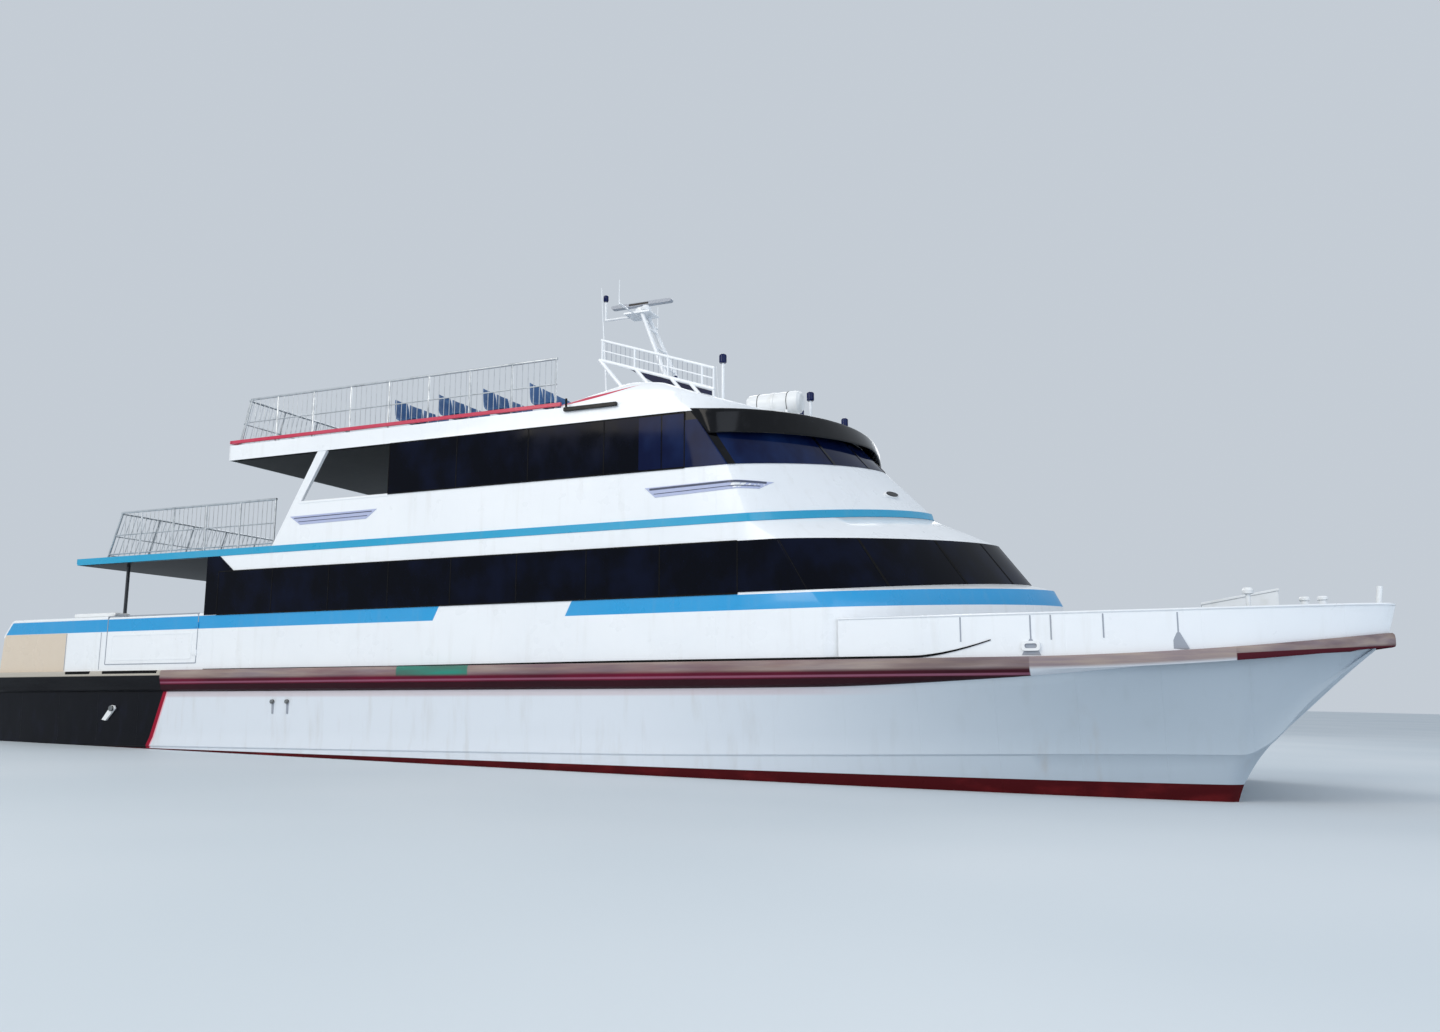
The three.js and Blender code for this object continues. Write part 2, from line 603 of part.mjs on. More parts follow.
// A flat run of railing: posts between two ends, a top rail and a middle one. Its posts lean
// forward by lean at the top. Where alone is true, only the first one does.
function railing(start, end, base, height, posts, lean, alone) {
  const at = (share, up) => [
    start[0] + (end[0] - start[0]) * share + lean * up * (alone ? Math.max(0, 1 - share * posts) : 1),
    start[1] + (end[1] - start[1]) * share,
    base + (height - PIPE) * up];
  const uprights = Array.from({ length: posts }, (_, i) => {
    const share = 0.01 + 0.98 * i / (posts - 1);
    const [foot, head] = [at(share, 0), at(share, 1)];
    const [forward, up] = [head[0] - foot[0], head[2] - foot[2]];
    foot[2] += POST * forward / Math.hypot(forward, up);
    return bar(foot, head, POST, POST_SIDES);
  });
  const rails = [0.5, 1].map((up) => bar(at(0, up), at(1, up)));
  return join([...rails, ...uprights]);
}

// Stairs. hole is the opening in the deck above.
const STAIR = {
  main: {
    foot: -11000, head: -8900, hole: [-10650, -8870], y0: 2300, y1: 3200,
    low: DECK, high: UPPER_DECK, steps: 11,
  },
  upper: {
    foot: -5900, head: -4300, hole: [-5700, -4270], y0: 1900, y1: 2700,
    low: UPPER_DECK, high: TOP_DECK, steps: 10,
  },
};
function stair({ foot, head, y0, y1, low, high, steps }) {
  const [run, climb] = [(head - foot) / steps, (high - low) / steps];
  const stringer = [[foot, low + GAP], [foot, low + 160], [head - 30, high - 30], [head - 30, high - 260],
    [foot + 260, low + GAP]];
  const sides = [[y0, y0 + 30], [y1 - 30, y1]].map(([a, b]) => plate(stringer, a, b));
  const treads = Array.from({ length: steps - 1 }, (_, i) => box(
    foot + run * (i + 0.5) - 20, foot + run * (i + 1.5) - 20, y0 + 20, y1 - 20,
    low + climb * (i + 1) - 60, low + climb * (i + 1) - 30));
  return join([...sides, ...treads]);
}

// Rows of seats on both sides of the aisle, on floor tracks that a cross plate ties together.
// rows: x of each row, facing forward.
function seatRows(rows, y0, y1, floor, backHeight) {
  const middle = (y0 + y1) / 2;
  const track = box(rows[0] - 320, rows[rows.length - 1] + 330, middle, middle + 80, floor + GAP, floor + 40);
  const outline = [[-60, 20], [-60, 370], [-320, 370], [-340, backHeight], [-280, backHeight], [-230, 450],
    [230, 450], [230, 370], [20, 370], [20, 20]];
  const seats = rows.map((x) => plate(outline.map(([dx, z]) => [x + dx, floor + z]), y0, y1));
  const tie = box(rows[0] - 310, rows[0] - 110, middle, -middle, floor + GAP, floor + 12);
  return join([tie, track, mirrored(track), ...seats, ...seats.map(mirrored)]);
}

function spread(first, last, count) {
  return Array.from({ length: count }, (_, i) => first + (last - first) * i / (count - 1));
}

// Wheelhouse desk and the helmsman's chair.
function helm() {
  const floor = UPPER_DECK + GAP;
  const desk = plate([[3600, floor], [3600, 5150], [4100, 5250], [4350, 5200], [4350, floor]], -1500, 1500);
  const chair = [box(2950, 3000, -25, 25, UPPER_DECK + 5, 4860), box(2750, 3200, -250, 250, 4850, 4940),
    box(2720, 2790, -250, 250, 4850, 5500), box(2800, 3700, -300, 300, floor, UPPER_DECK + 20)];
  return join([desk, ...chair]);
}

// Sloping wind screen frame at the edge of the wheelhouse roof: a top bar that falls forward,
// struts that rake aft up to it, and a hand rail on posts above it.
const SCREEN = { y: -3450, aft: 1080, fore: 3450, top: 7700, fall: 0.35, rake: 1.2, rail: 400 };
const SCREEN_FEET = [1650, 2160, 2780, 3180];
function windScreen() {
  const { y, aft, fore, rail } = SCREEN;
  const topAt = (x) => SCREEN.top - (x - aft) * SCREEN.fall;
  const struts = SCREEN_FEET.map((foot) => {
    const back = (topAt(foot) - roofTop(foot)) / (SCREEN.rake - SCREEN.fall);
    return bar([foot, y, roofTop(foot) + 24], [foot - back, y, topAt(foot - back)], 35, POST_SIDES);
  });
  const posts = [aft + 20, 1800, 2500, 3200].map(
    (x) => bar([x, y, topAt(x)], [x, y, topAt(x) + rail], POST, POST_SIDES));
  const rails = [0, rail].map((up) => bar([aft, y, topAt(aft) + up], [fore, y, topAt(fore) + up], 30));
  const end = fore - 20;
  const endPost = bar([end, y, topAt(fore) + rail], [end, y, roofTop(end) + 10], POST, POST_SIDES);
  const pads = [...SCREEN_FEET, end].map((x) => roofPad(x, y, 55));
  return join([...rails, ...struts, ...posts, endPost, ...pads]);
}

// Mast: a raked pair of legs, cross bars, the radar's table and the pole of the masthead light.
const RADAR = { x: 170, z: 9900 };
function mast() {
  const foot = 1500;
  const legs = [-1, 1].map(
    (side) => bar([foot, side * 520, roofTop(foot) + 32], [250, side * 170, RADAR.z - 60], 55, 8));
  const pads = [-1, 1].map((side) => roofPad(foot, side * 520, 80));
  const bars = [0.35, 0.68].map((up) => {
    const x = foot + (250 - foot) * up;
    const y = 520 + (170 - 520) * up;
    const z = roofTop(foot) + (RADAR.z - roofTop(foot)) * up;
    return bar([x, -y, z], [x, y, z], 30);
  });
  const table = box(-150, 480, -260, 260, RADAR.z - 90, RADAR.z - 50);
  const pedestal = box(RADAR.x - 150, RADAR.x + 150, -130, 130, RADAR.z - 51, RADAR.z + 100);
  const yard = bar([-100, 0, RADAR.z - 70], [-750, 0, RADAR.z - 70], 28);
  const pole = bar([-750, 0, RADAR.z - 90], [-750, 0, 10290], 22);
  const lamp = bar([-750, 0, 10280], [-750, 0, 10440], 62, 10);
  return join([...legs, ...pads, ...bars, table, pedestal, yard, pole, lamp]);
}

function scanner() {
  const beam = box(RADAR.x - 750, RADAR.x + 750, -70, 70, RADAR.z + 130, RADAR.z + 240);
  const hub = bar([RADAR.x, 0, RADAR.z + 100 + GAP], [RADAR.x, 0, RADAR.z + 140], 60, 12);
  return join([beam, hub]);
}

// Foredeck locker with a sloping lid, and mooring bitts.
const LOCKER = { aft: 11400, fore: 12600, half: 700, low: 2870, high: 3070, wall: 40, overhang: 15 };
function lockerTop(x) {
  return LOCKER.low + (LOCKER.high - LOCKER.low) * (x - LOCKER.aft) / (LOCKER.fore - LOCKER.aft);
}
function locker() {
  const { aft, fore, half, wall } = LOCKER;
  const deck = (x) => DECK + sheer(x) + GAP;
  const base = plate([[aft, deck(aft)], [aft, lockerTop(aft)], [fore, lockerTop(fore)], [fore, deck(fore)]],
    -half, half);
  const bottom = deck(fore) + 60;
  const above = LOCKER.high + 100;
  return cut(base, [box(aft + wall, fore - wall, -half + wall, half - wall, bottom, above)]);
}
function lockerLid() {
  const [aft, fore, half] = [LOCKER.aft - LOCKER.overhang, LOCKER.fore + LOCKER.overhang,
    LOCKER.half + LOCKER.overhang];
  const under = (x) => lockerTop(x) + 0.35;
  return plate([[aft, under(aft)], [aft, under(aft) + 43], [fore, under(fore) + 43], [fore, under(fore)]],
    -half, half);
}
function bitt(x, y) {
  const base = DECK + sheer(x + 200) + GAP;
  const foot = box(x - 200, x + 200, y - 90, y + 90, base, base + 25);
  const posts = [-120, 120].map((dx) => bar([x + dx, y, base + 10], [x + dx, y, base + 640], 55, 10));
  const cross = bar([x - 190, y, base + 560], [x + 190, y, base + 560], 28);
  return join([foot, ...posts, cross]);
}

function buildHulls() {
  addPair('hull', join([hull(), jetCasing()]), 'white');
  addPair('jet_nozzle', jetNozzle(), 'alloy');
  addPair('jet_bucket', jetBucket(), 'alloy');
  add('bridge_deck', bridgeDeck(TRANSOM, SHEER_START), 'white');
  add('bridge_nose', bridgeDeck(SHEER_START, 12800).translate(GAP, 0, 0), 'white');
  add('main_deck', mainDeck(), 'grey');
  addPair('rub_rail', rubRail(), 'maroon');
}

function buildMainDeck() {
  addPair('bow_bulwark', bowBulwark(), 'white');
  add('fore_bulwark', box(FORE_EDGE - BULWARK, FORE_EDGE, -BRIDGE_HALF - 30, BRIDGE_HALF + 30,
    DECK + sheer(FORE_EDGE) + GAP, BULWARK_TOP + 60), 'white');
  addPair('stern_bulwark', sternSide(), 'white');
  add('transom_bulwark', box(TRANSOM + 100, TRANSOM + 190, -HALF + BULWARK + GAP, HALF - BULWARK - GAP,
    DECK + GAP, 2700), 'white');
  addPair('gate', gate(), 'white');
  addPair('house_side', houseSide(), 'white');
  add('house_front', houseFront(), 'white');
  add('house_aft', bulkhead(HOUSE_AFT, DECK, EAVE, MAIN_DOOR.half, MAIN_DOOR.top), 'white');
  addPair('door_main', doorLeaf(HOUSE_AFT, -MAIN_DOOR.half + 8, -8, DECK + 12, MAIN_DOOR.top - 10), 'alloy');
  addPair('glass_main', box(-7540, SIDE_END - GAP, -HALF - PANE, -HALF - GAP, MAIN_SILL, MAIN_HEAD), 'glass');
  add('glass_main_front', noseWall(['sill', 'head'], SIDE_END + GAP, PANE, GAP), 'glass');
  add('stair_main', stair(STAIR.main), 'alloy');
  add('seats_main', seatRows(spread(-6400, 4400, 8), -3500, -1200, DECK, 1080), 'seat');
  add('locker', locker(), 'white');
  add('locker_lid', lockerLid(), 'white');
  addPair('bitt', bitt(12950, -3000), 'alloy');
}

function buildUpperDeck() {
  add('upper_deck', upperDeck(), 'white');
  addPair('upper_side', upperSide(), 'white');
  add('upper_front', upperFront(), 'white');
  add('upper_aft', bulkhead(UPPER_CABIN_AFT, UPPER_DECK, TOP_UNDER, UPPER_DOOR.half, UPPER_DOOR.top), 'white');
  add('door_upper', doorLeaf(UPPER_CABIN_AFT, -UPPER_DOOR.half + 8, UPPER_DOOR.half - 12,
    UPPER_DECK + 12, UPPER_DOOR.top - 10), 'alloy');
  addPair('glass_upper', box(UPPER_CABIN_AFT, UPPER_SIDE_END - GAP, -HALF - PANE, -HALF - GAP,
    UPPER_SILL, TOP_UNDER - 10), 'glass');
  add('glass_upper_front', noseWall(['upperSill', underBrow()], UPPER_SIDE_END + GAP, PANE, GAP), 'glass');
  addPair('rail_upper',
    railing([-11050, -4080], [UPPER_WALL_AFT - 60, -4080], UPPER_DECK + GAP, 1030, 5, RAKE.upper, true), 'alloy');
  add('rail_upper_aft',
    railing([-11160, -4000], [-11160, 4000], UPPER_DECK + GAP, 1030, 7, RAKE.upper, false), 'alloy');
  add('stair_upper', stair(STAIR.upper), 'alloy');
  add('seats_upper', seatRows(spread(-2300, 1700, 4), -3500, -700, UPPER_DECK, 1080), 'seat');
  add('helm', helm(), 'dark');
}

function buildTopDeck() {
  add('top_deck', topDeck(), 'white');
  add('visor', visor(), 'glass');
  add('roof', roof(), 'white');
  addPair('rail_top',
    railing([TOP_AFT + 150, -4120], [ROOF_START - 120, -4120], TOP_DECK + GAP, 1020, 7, RAKE.top, true), 'alloy');
  add('rail_top_aft',
    railing([TOP_AFT + 40, -4060], [TOP_AFT + 40, 4060], TOP_DECK + GAP, 1020, 7, RAKE.top, false), 'alloy');
  add('benches_top', seatRows(spread(-3600, -300, 4), -3300, -900, TOP_DECK, 900), 'seat');
  addPair('wind_screen', windScreen(), 'white');
  add('mast', mast(), 'white');
  add('radar_scanner', scanner(), 'white');
}

buildHulls();
buildMainDeck();
buildUpperDeck();
buildTopDeck();

export default group;
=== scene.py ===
"""Looks of the passenger ferry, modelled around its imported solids.

Metres. +X points to the bow, +Y to port, +Z up, and the origin is amidships at the waterline.
Pieces are written for the starboard side, at negative y, and mirrored to port. Every surface is worked
out as a whole array: rings of points joined by a skin. The hull's rings are sections along X, rails and
mouldings carry a profile along a path in plan, and the rounded fronts follow plan curves that move in
and up from level to level.
"""
import math

import bmesh
import bpy
import numpy as np
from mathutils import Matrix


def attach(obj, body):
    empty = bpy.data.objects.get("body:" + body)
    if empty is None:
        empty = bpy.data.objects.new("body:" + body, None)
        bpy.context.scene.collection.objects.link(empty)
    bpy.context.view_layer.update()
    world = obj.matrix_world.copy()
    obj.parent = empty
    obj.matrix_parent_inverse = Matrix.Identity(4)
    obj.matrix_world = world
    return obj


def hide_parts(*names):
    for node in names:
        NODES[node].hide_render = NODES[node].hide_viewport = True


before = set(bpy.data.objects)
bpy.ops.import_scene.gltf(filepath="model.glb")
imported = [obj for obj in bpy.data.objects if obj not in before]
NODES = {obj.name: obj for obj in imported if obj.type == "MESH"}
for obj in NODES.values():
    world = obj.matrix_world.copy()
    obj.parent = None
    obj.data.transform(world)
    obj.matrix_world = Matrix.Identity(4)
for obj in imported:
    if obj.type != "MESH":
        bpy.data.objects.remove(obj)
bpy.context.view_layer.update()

# Heights above the waterline
DECK = 1.9
MAIN_SILL = 3.03
MAIN_HEAD = 3.93
EAVE = 4.26
UPPER_DECK = 4.4
UPPER_SILL = 5.28
TOP_UNDER = 6.3
TOP_DECK = 6.62
BULWARK_TOP = 2.57
STERN_TOP = 3.03

# Stations along the length
TRANSOM = -14.05
BOW_TIP = 13.85
BOW_LIMIT = 14.0
FORE_EDGE = 12.9
SHEER_START = 8.7
HOUSE_AFT = -7.89
SIDE_END = 4.2
UPPER_AFT = -11.8
UPPER_CABIN_AFT = -3.24
UPPER_SIDE_END = 3.2
TOP_AFT = -7.45
ROOF_START = 0.64

# Breadths, thicknesses and the clearance of pieces that lie on others
HALF = 4.2
HULL_CENTRE = 2.95
BRIDGE_HALF = 1.7
WALL = 0.07
PANE = 0.012
SHEER = 0.3
LAID = 0.0006

# How the water lies against the decks: the boat trims a little by the stern
WATER = {"at_midships": 0.037, "slope": -0.0243}


def srgb(code):
    """Linear colour of an sRGB hex code."""
    parts = np.array([int(code[i:i + 2], 16) / 255 for i in (1, 3, 5)])
    linear = np.where(parts <= 0.04045, parts / 12.92, ((parts + 0.055) / 1.055) ** 2.4)
    return (*(float(c) for c in linear), 1.0)


class Finish:
    """Node tree of one finish. Places are Object coordinates, in metres."""

    def __init__(self, name):
        self.material = bpy.data.materials.new(name)
        self.material.use_nodes = True
        self.tree = self.material.node_tree
        self.tree.nodes.clear()
        self.place = self.add("TexCoord", {}, out="Object")
        self.x, self.y, self.z = (self.add("SeparateXYZ", [self.place], out=i) for i in range(3))

    def add(self, kind, inputs, out=0, **settings):
        """Adds a node with its settings, links or sets its inputs, and gives one of its outputs."""
        node = self.tree.nodes.new("ShaderNode" + kind)
        for name, value in settings.items():
            setattr(node, name, value)
        named = inputs.items() if isinstance(inputs, dict) else enumerate(inputs)
        for name, value in named:
            if isinstance(value, bpy.types.NodeSocket):
                self.tree.links.new(value, node.inputs[name])
            elif value is not None:
                node.inputs[name].default_value = value
        return node.outputs[out] if node.outputs else None

    def shade(self, **sockets):
        """Ends the tree in one shader with these sockets and gives the material."""
        inputs = {name.replace("_", " "): value for name, value in sockets.items()}
        self.add("OutputMaterial", [self.add("BsdfPrincipled", inputs)])
        return self.material


def patches(finish, size, low, high, detail=4.0):
    """Share of cloudy patches, 0 to 1. size is how large they are along X, Y and Z in millimetres."""
    vector = finish.add("Mapping", {"Vector": finish.place, "Scale": [1000 / s for s in size]})
    cloud = finish.add("TexNoise", {"Vector": vector, "Scale": 1.0, "Detail": detail})
    return finish.add("MapRange", [cloud, low, high], interpolation_type="SMOOTHSTEP")


def between(finish, value, low, high, soft=0.003):
    """Share that is 1 where a value lies between low and high, with soft edges."""
    above = finish.add("MapRange", [value, low - soft, low + soft], interpolation_type="SMOOTHSTEP")
    under = finish.add("MapRange", [value, high + soft, high - soft], interpolation_type="SMOOTHSTEP")
    return finish.add("Math", [above, under], operation="MULTIPLY")


def slanted(finish, slope, offset):
    """Height above a line that slopes along X: z - slope x - offset."""
    line = finish.add("Math", [finish.x, slope, offset], operation="MULTIPLY_ADD")
    return finish.add("Math", [finish.z, line], operation="SUBTRACT")


def over(finish, share, under, above):
    """Lays one colour over another by a share."""
    return finish.add("Mix", {0: share, 6: under, 7: above}, out=2, data_type="RGBA")


def part_of(finish, share, amount):
    """A share weakened to an amount, which may be another share."""
    return finish.add("Math", [share, amount], operation="MULTIPLY")


def relief(finish, share, millimetres, under=None):
    """Bump of a share's height, on top of another bump."""
    return finish.add("Bump", {"Height": share, "Distance": millimetres / 1000, "Normal": under})


def weathered(finish, colour, dirt):
    """Paint that has stood outside: streaks run down by rain, 160 mm apart, and faint wide clouds."""
    streaks = part_of(finish, patches(finish, (160, 160, 1500), 0.52, 0.78), dirt * 0.45)
    clouds = part_of(finish, patches(finish, (1900, 1900, 1900), 0.35, 0.75), dirt * 0.4)
    return over(finish, clouds, over(finish, streaks, colour, srgb("#b9b2a2")), srgb("#c3ced9"))


def plating(finish, pitch):
    """Bump of thin welded plates over frames: soft waves of 9 mm, weld seams a pitch apart, and the
    orange peel of sprayed paint, drawn at 14 mm, several times its size, so that it shows."""
    waves = relief(finish, patches(finish, (900, 900, 1200), 0.2, 0.8, 2.0), 7)
    share = finish.add("Math", [finish.x, pitch], operation="DIVIDE")
    share = finish.add("Math", [share, 1.0, 0.0], operation="WRAP")
    seams = relief(finish, between(finish, share, 0.0, 0.012 / pitch, 0.002), 1.5, waves)
    return relief(finish, patches(finish, (14, 14, 14), 0.3, 0.7, 2.0), 0.12, seams)


WHITE = srgb("#f4f7fa")
BLUE = srgb("#0f9bd8")
MAROON = srgb("#6e0a2e")
RED = srgb("#c81e46")


def sprayed_paint(name, code, dirt=0.25, roughness=0.26):
    """Two-pack polyurethane sprayed on aluminium plate: a hard even gloss with rain streaks."""
    finish = Finish(name)
    dull = patches(finish, (500, 500, 500), 0.3, 0.7)
    rough = finish.add("MapRange", [dull, 0.0, 1.0, roughness, roughness + 0.12])
    return finish.shade(Base_Color=weathered(finish, srgb(code), dirt), Roughness=rough,
                        Normal=plating(finish, 1.9), Coat_Weight=0.4, Coat_Roughness=0.08)


# The bare white stretch of the blue band, at its middle height, and the slant of its ends
BARE = {"aft": -1.98, "fore": 0.91, "slant": 0.5}
BAND = {"low": 2.75, "high": 3.02}


def banded_paint():
    """White two-pack gloss with the masked blue band, sprayed on aluminium plate. Its last stretch under
    the band is painted a warm tan as painted sunlight, and a post at the stern is painted dark as painted shade."""
    finish = Finish("banded_two_pack_gloss")
    band = between(finish, finish.z, BAND["low"], BAND["high"])
    middle = (BAND["low"] + BAND["high"]) / 2
    sheared = finish.add("Math", [finish.z, -BARE["slant"], BARE["slant"] * middle], operation="MULTIPLY_ADD")
    along = finish.add("Math", [finish.x, sheared], operation="ADD")
    bare = between(finish, along, BARE["aft"], BARE["fore"], 0.01)
    kept = finish.add("Math", [1.0, bare], operation="SUBTRACT")
    blue = part_of(finish, band, kept)
    # Aft of x = -11.9 and under the band the white is painted warm tan: painted sunlight on the last stretch.
    aft = finish.add("MapRange", [finish.x, -11.9, -11.98], interpolation_type="SMOOTHSTEP")
    under = finish.add("MapRange", [finish.z, 2.76, 2.74], interpolation_type="SMOOTHSTEP")
    warm_sunlight = part_of(finish, part_of(finish, aft, under), 0.75)
    white = over(finish, warm_sunlight, weathered(finish, WHITE, 0.25), srgb("#d6bf9f"))
    paint = over(finish, blue, white, weathered(finish, BLUE, 0.12))
    # A post at the stern is painted nearly black: painted shade on it.
    post = part_of(finish, between(finish, finish.z, 3.12, 4.4), between(finish, finish.x, -10.9, -10.6))
    paint = over(finish, post, paint, srgb("#1b1f27"))
    dull = patches(finish, (500, 500, 500), 0.3, 0.7)
    rough = finish.add("MapRange", [dull, 0.0, 1.0, 0.26, 0.38])
    return finish.shade(Base_Color=paint, Roughness=rough, Normal=plating(finish, 1.9),
                        Coat_Weight=0.4, Coat_Roughness=0.08)


# The antifouling's upper edge is a line that falls towards the bow
ANTIFOUL = {"at_midships": 0.16, "slope": -0.0129}
# The black stern area ends at a slanted red line: where it is at this height, and its slope
STERN_LINE = {"x": -8.98, "z": 0.9, "slope": 0.36, "width": 0.1, "pale": 0.035}


def hull_paint():
    """Topsides in brushed and sprayed gloss, which gives a soft grey white with rust-brown stains that weep low
    down, black gloss at the stern, and matt dark red antifouling with slime in it. Painted shade turns the flared bows
    grey blue and lies as a pinkish grey band, tinted like rust, just under the rub rail."""
    finish = Finish("hull_topsides_gloss")
    streaks = part_of(finish, patches(finish, (220, 220, 1500), 0.5, 0.8), 0.22)
    white = over(finish, streaks, srgb("#dfe5ec"), srgb("#b3aca0"))
    # Forward of x = 1 the white is painted grey blue towards the bows: painted shade on the flare, which faces down.
    flare = finish.add("MapRange", [finish.x, 1.0, 11.0], interpolation_type="SMOOTHSTEP")
    white = over(finish, part_of(finish, flare, 0.8), white, srgb("#a3b1bc"))
    # A pinkish grey band just under the rub rail: painted shade of the rail's overhang, tinted like rust that weeps.
    weeping_and_shade = between(finish, finish.z, 1.34, 1.5, 0.03)
    weeping_and_shade = part_of(finish, weeping_and_shade, finish.add("MapRange", [finish.x, 7.5, 4.5], interpolation_type="SMOOTHSTEP"))
    white = over(finish, part_of(finish, weeping_and_shade, 0.5), white, srgb("#c9b0b4"))
    low = finish.add("MapRange", [finish.z, 1.5, 0.4], interpolation_type="SMOOTHSTEP")
    rust = part_of(finish, patches(finish, (420, 420, 2100), 0.6, 0.8, 5.0), low)
    white = over(finish, part_of(finish, rust, 0.3), white, srgb("#a48e78"))
    sheared = finish.add("Math", [finish.z, -STERN_LINE["slope"], STERN_LINE["slope"] * STERN_LINE["z"]],
                         operation="MULTIPLY_ADD")
    along = finish.add("Math", [finish.x, sheared], operation="ADD")
    scuffs = patches(finish, (300, 300, 900), 0.5, 0.85)
    black = over(finish, scuffs, srgb("#05060f"), srgb("#16182a"))
    start = STERN_LINE["x"]
    forward = finish.add("MapRange", [along, start - 0.006, start + 0.006], interpolation_type="SMOOTHSTEP")
    sides = over(finish, forward, black, white)
    red = between(finish, along, start - STERN_LINE["width"], start, 0.004)
    sides = over(finish, red, sides, srgb("#9c0f2e"))
    pale = between(finish, along, start, start + STERN_LINE["pale"], 0.004)
    sides = over(finish, pale, sides, srgb("#e9b4c0"))
    depth = slanted(finish, ANTIFOUL["slope"], ANTIFOUL["at_midships"])
    worn = patches(finish, (700, 700, 260), 0.45, 0.8, 5.0)
    foul = over(finish, worn, srgb("#47030a"), srgb("#661418"))
    deep = finish.add("MapRange", [depth, -0.35, -1.2], interpolation_type="SMOOTHSTEP")
    slime = part_of(finish, patches(finish, (120, 120, 120), 0.4, 0.7, 5.0), deep)
    foul = over(finish, slime, foul, srgb("#2c2416"))
    dry = finish.add("MapRange", [depth, -0.004, 0.004], interpolation_type="SMOOTHSTEP")
    rough = finish.add("MapRange", [dry, 0.0, 1.0, 0.68, 0.33])
    return finish.shade(Base_Color=over(finish, dry, foul, sides), Roughness=rough,
                        Normal=plating(finish, 1.2), Specular_IOR_Level=0.15)


def rub_rail_paint():
    """Brushed maroon enamel on the rub rail, scraped along quays down to greyish metal on its upper
    edge. It stops where the bows flare, starts again near the stems, and the stern stretch is black. Its lower face is
    painted nearly black as painted shade, and the maroon is painted darker towards the bow as painted shade."""
    finish = Finish("scraped_maroon_enamel")
    rise = finish.add("MapRange", [finish.x, SHEER_START, BOW_TIP, 0.0, 1.0])
    rise = finish.add("Math", [rise, 2.0], operation="POWER")
    level = finish.add("Math", [rise, -SHEER, finish.z], operation="MULTIPLY_ADD")
    scraped = patches(finish, (1600, 260, 200), 0.3, 0.75, 3.0)
    upper = finish.add("MapRange", [level, 1.69, 1.76], interpolation_type="SMOOTHSTEP")
    dusty = over(finish, patches(finish, (1500, 200, 90), 0.3, 0.7, 3.0), srgb("#8d7f83"), srgb("#a8988f"))
    green = part_of(finish, between(finish, finish.x, -2.75, -1.13, 0.02), between(finish, level, 1.69, 1.95))
    dusty = over(finish, green, dusty, srgb("#2f8f7c"))
    deep = over(finish, patches(finish, (2100, 700, 700), 0.3, 0.7), MAROON, srgb("#4c0820"))
    edge = finish.add("MapRange", [scraped, 0.0, 1.0, 0.55, 1.0])
    # From x = 3 to 8 the maroon is painted darker towards the bow: painted shade, as on the flared hull below.
    forward = finish.add("MapRange", [finish.x, 3.0, 8.0], interpolation_type="SMOOTHSTEP")
    deep = over(finish, part_of(finish, forward, 0.8), deep, srgb("#2a0410"))
    painted = over(finish, part_of(finish, upper, edge), deep, dusty)
    stem = finish.add("MapRange", [slanted(finish, 0.05, 1.318), 0.004, -0.004], interpolation_type="SMOOTHSTEP")
    stem = part_of(finish, stem, finish.add("MapRange", [finish.x, 11.83, 11.85]))
    painted = over(finish, stem, painted, srgb("#4a0618"))
    # The rail's lower face, which faces down, is painted nearly black: painted shade.
    dark = between(finish, level, 1.4, 1.6, 0.012)
    painted = over(finish, part_of(finish, dark, 0.9), painted, srgb("#22020d"))
    rubbed = between(finish, level, 1.62, 1.655, 0.008)
    painted = over(finish, part_of(finish, rubbed, 0.5), painted, srgb("#b0708a"))
    flare = between(finish, finish.x, 8.98, 11.84, 0.01)
    bare = over(finish, upper, srgb("#d3d8df"), dusty)
    paint = over(finish, flare, painted, bare)
    aft = finish.add("MapRange", [finish.x, -8.86, -8.9], interpolation_type="SMOOTHSTEP")
    top_edge = between(finish, level, 1.79, 1.95, 0.01)
    shade = over(finish, top_edge, srgb("#06070e"), srgb("#b9b3a8"))
    paint = over(finish, aft, paint, shade)
    bumps = relief(finish, scraped, 1.2, relief(finish, patches(finish, (30, 30, 30), 0.3, 0.7), 0.8))
    rough = finish.add("MapRange", [scraped, 0.0, 1.0, 0.42, 0.62])
    return finish.shade(Base_Color=paint, Roughness=rough, Normal=bumps, Specular_IOR_Level=0.2)


def deck_paint():
    """Rolled deck paint with 6 mm sand clumps, drawn coarser than the real 1 mm grit. It is matt grey
    on what faces up, worn pale where people walk, and painted nearly black on what faces down under the decks, as
    painted shade."""
    finish = Finish("sanded_deck_paint")
    worn = patches(finish, (1400, 1400, 1400), 0.4, 0.75)
    grey = over(finish, worn, srgb("#6e777e"), srgb("#8b9297"))
    grit = finish.add("TexVoronoi", {"Vector": finish.place, "Scale": 1000 / 6})
    # What faces down is painted nearly black: painted shade under the decks.
    up = finish.add("SeparateXYZ", [finish.add("NewGeometry", {}, out="Normal")], out=2)
    tread = finish.add("MapRange", [up, 0.4, 0.6], interpolation_type="SMOOTHSTEP")
    under = weathered(finish, srgb("#0e0e0e"), 0.05)
    rough = finish.add("MapRange", [tread, 0.0, 1.0, 0.45, 0.84])
    sand = finish.add("Math", [grit, tread], operation="MULTIPLY")
    return finish.shade(Base_Color=over(finish, tread, under, grey), Roughness=rough,
                        Normal=relief(finish, sand, 1.0), Specular_IOR_Level=0.1)


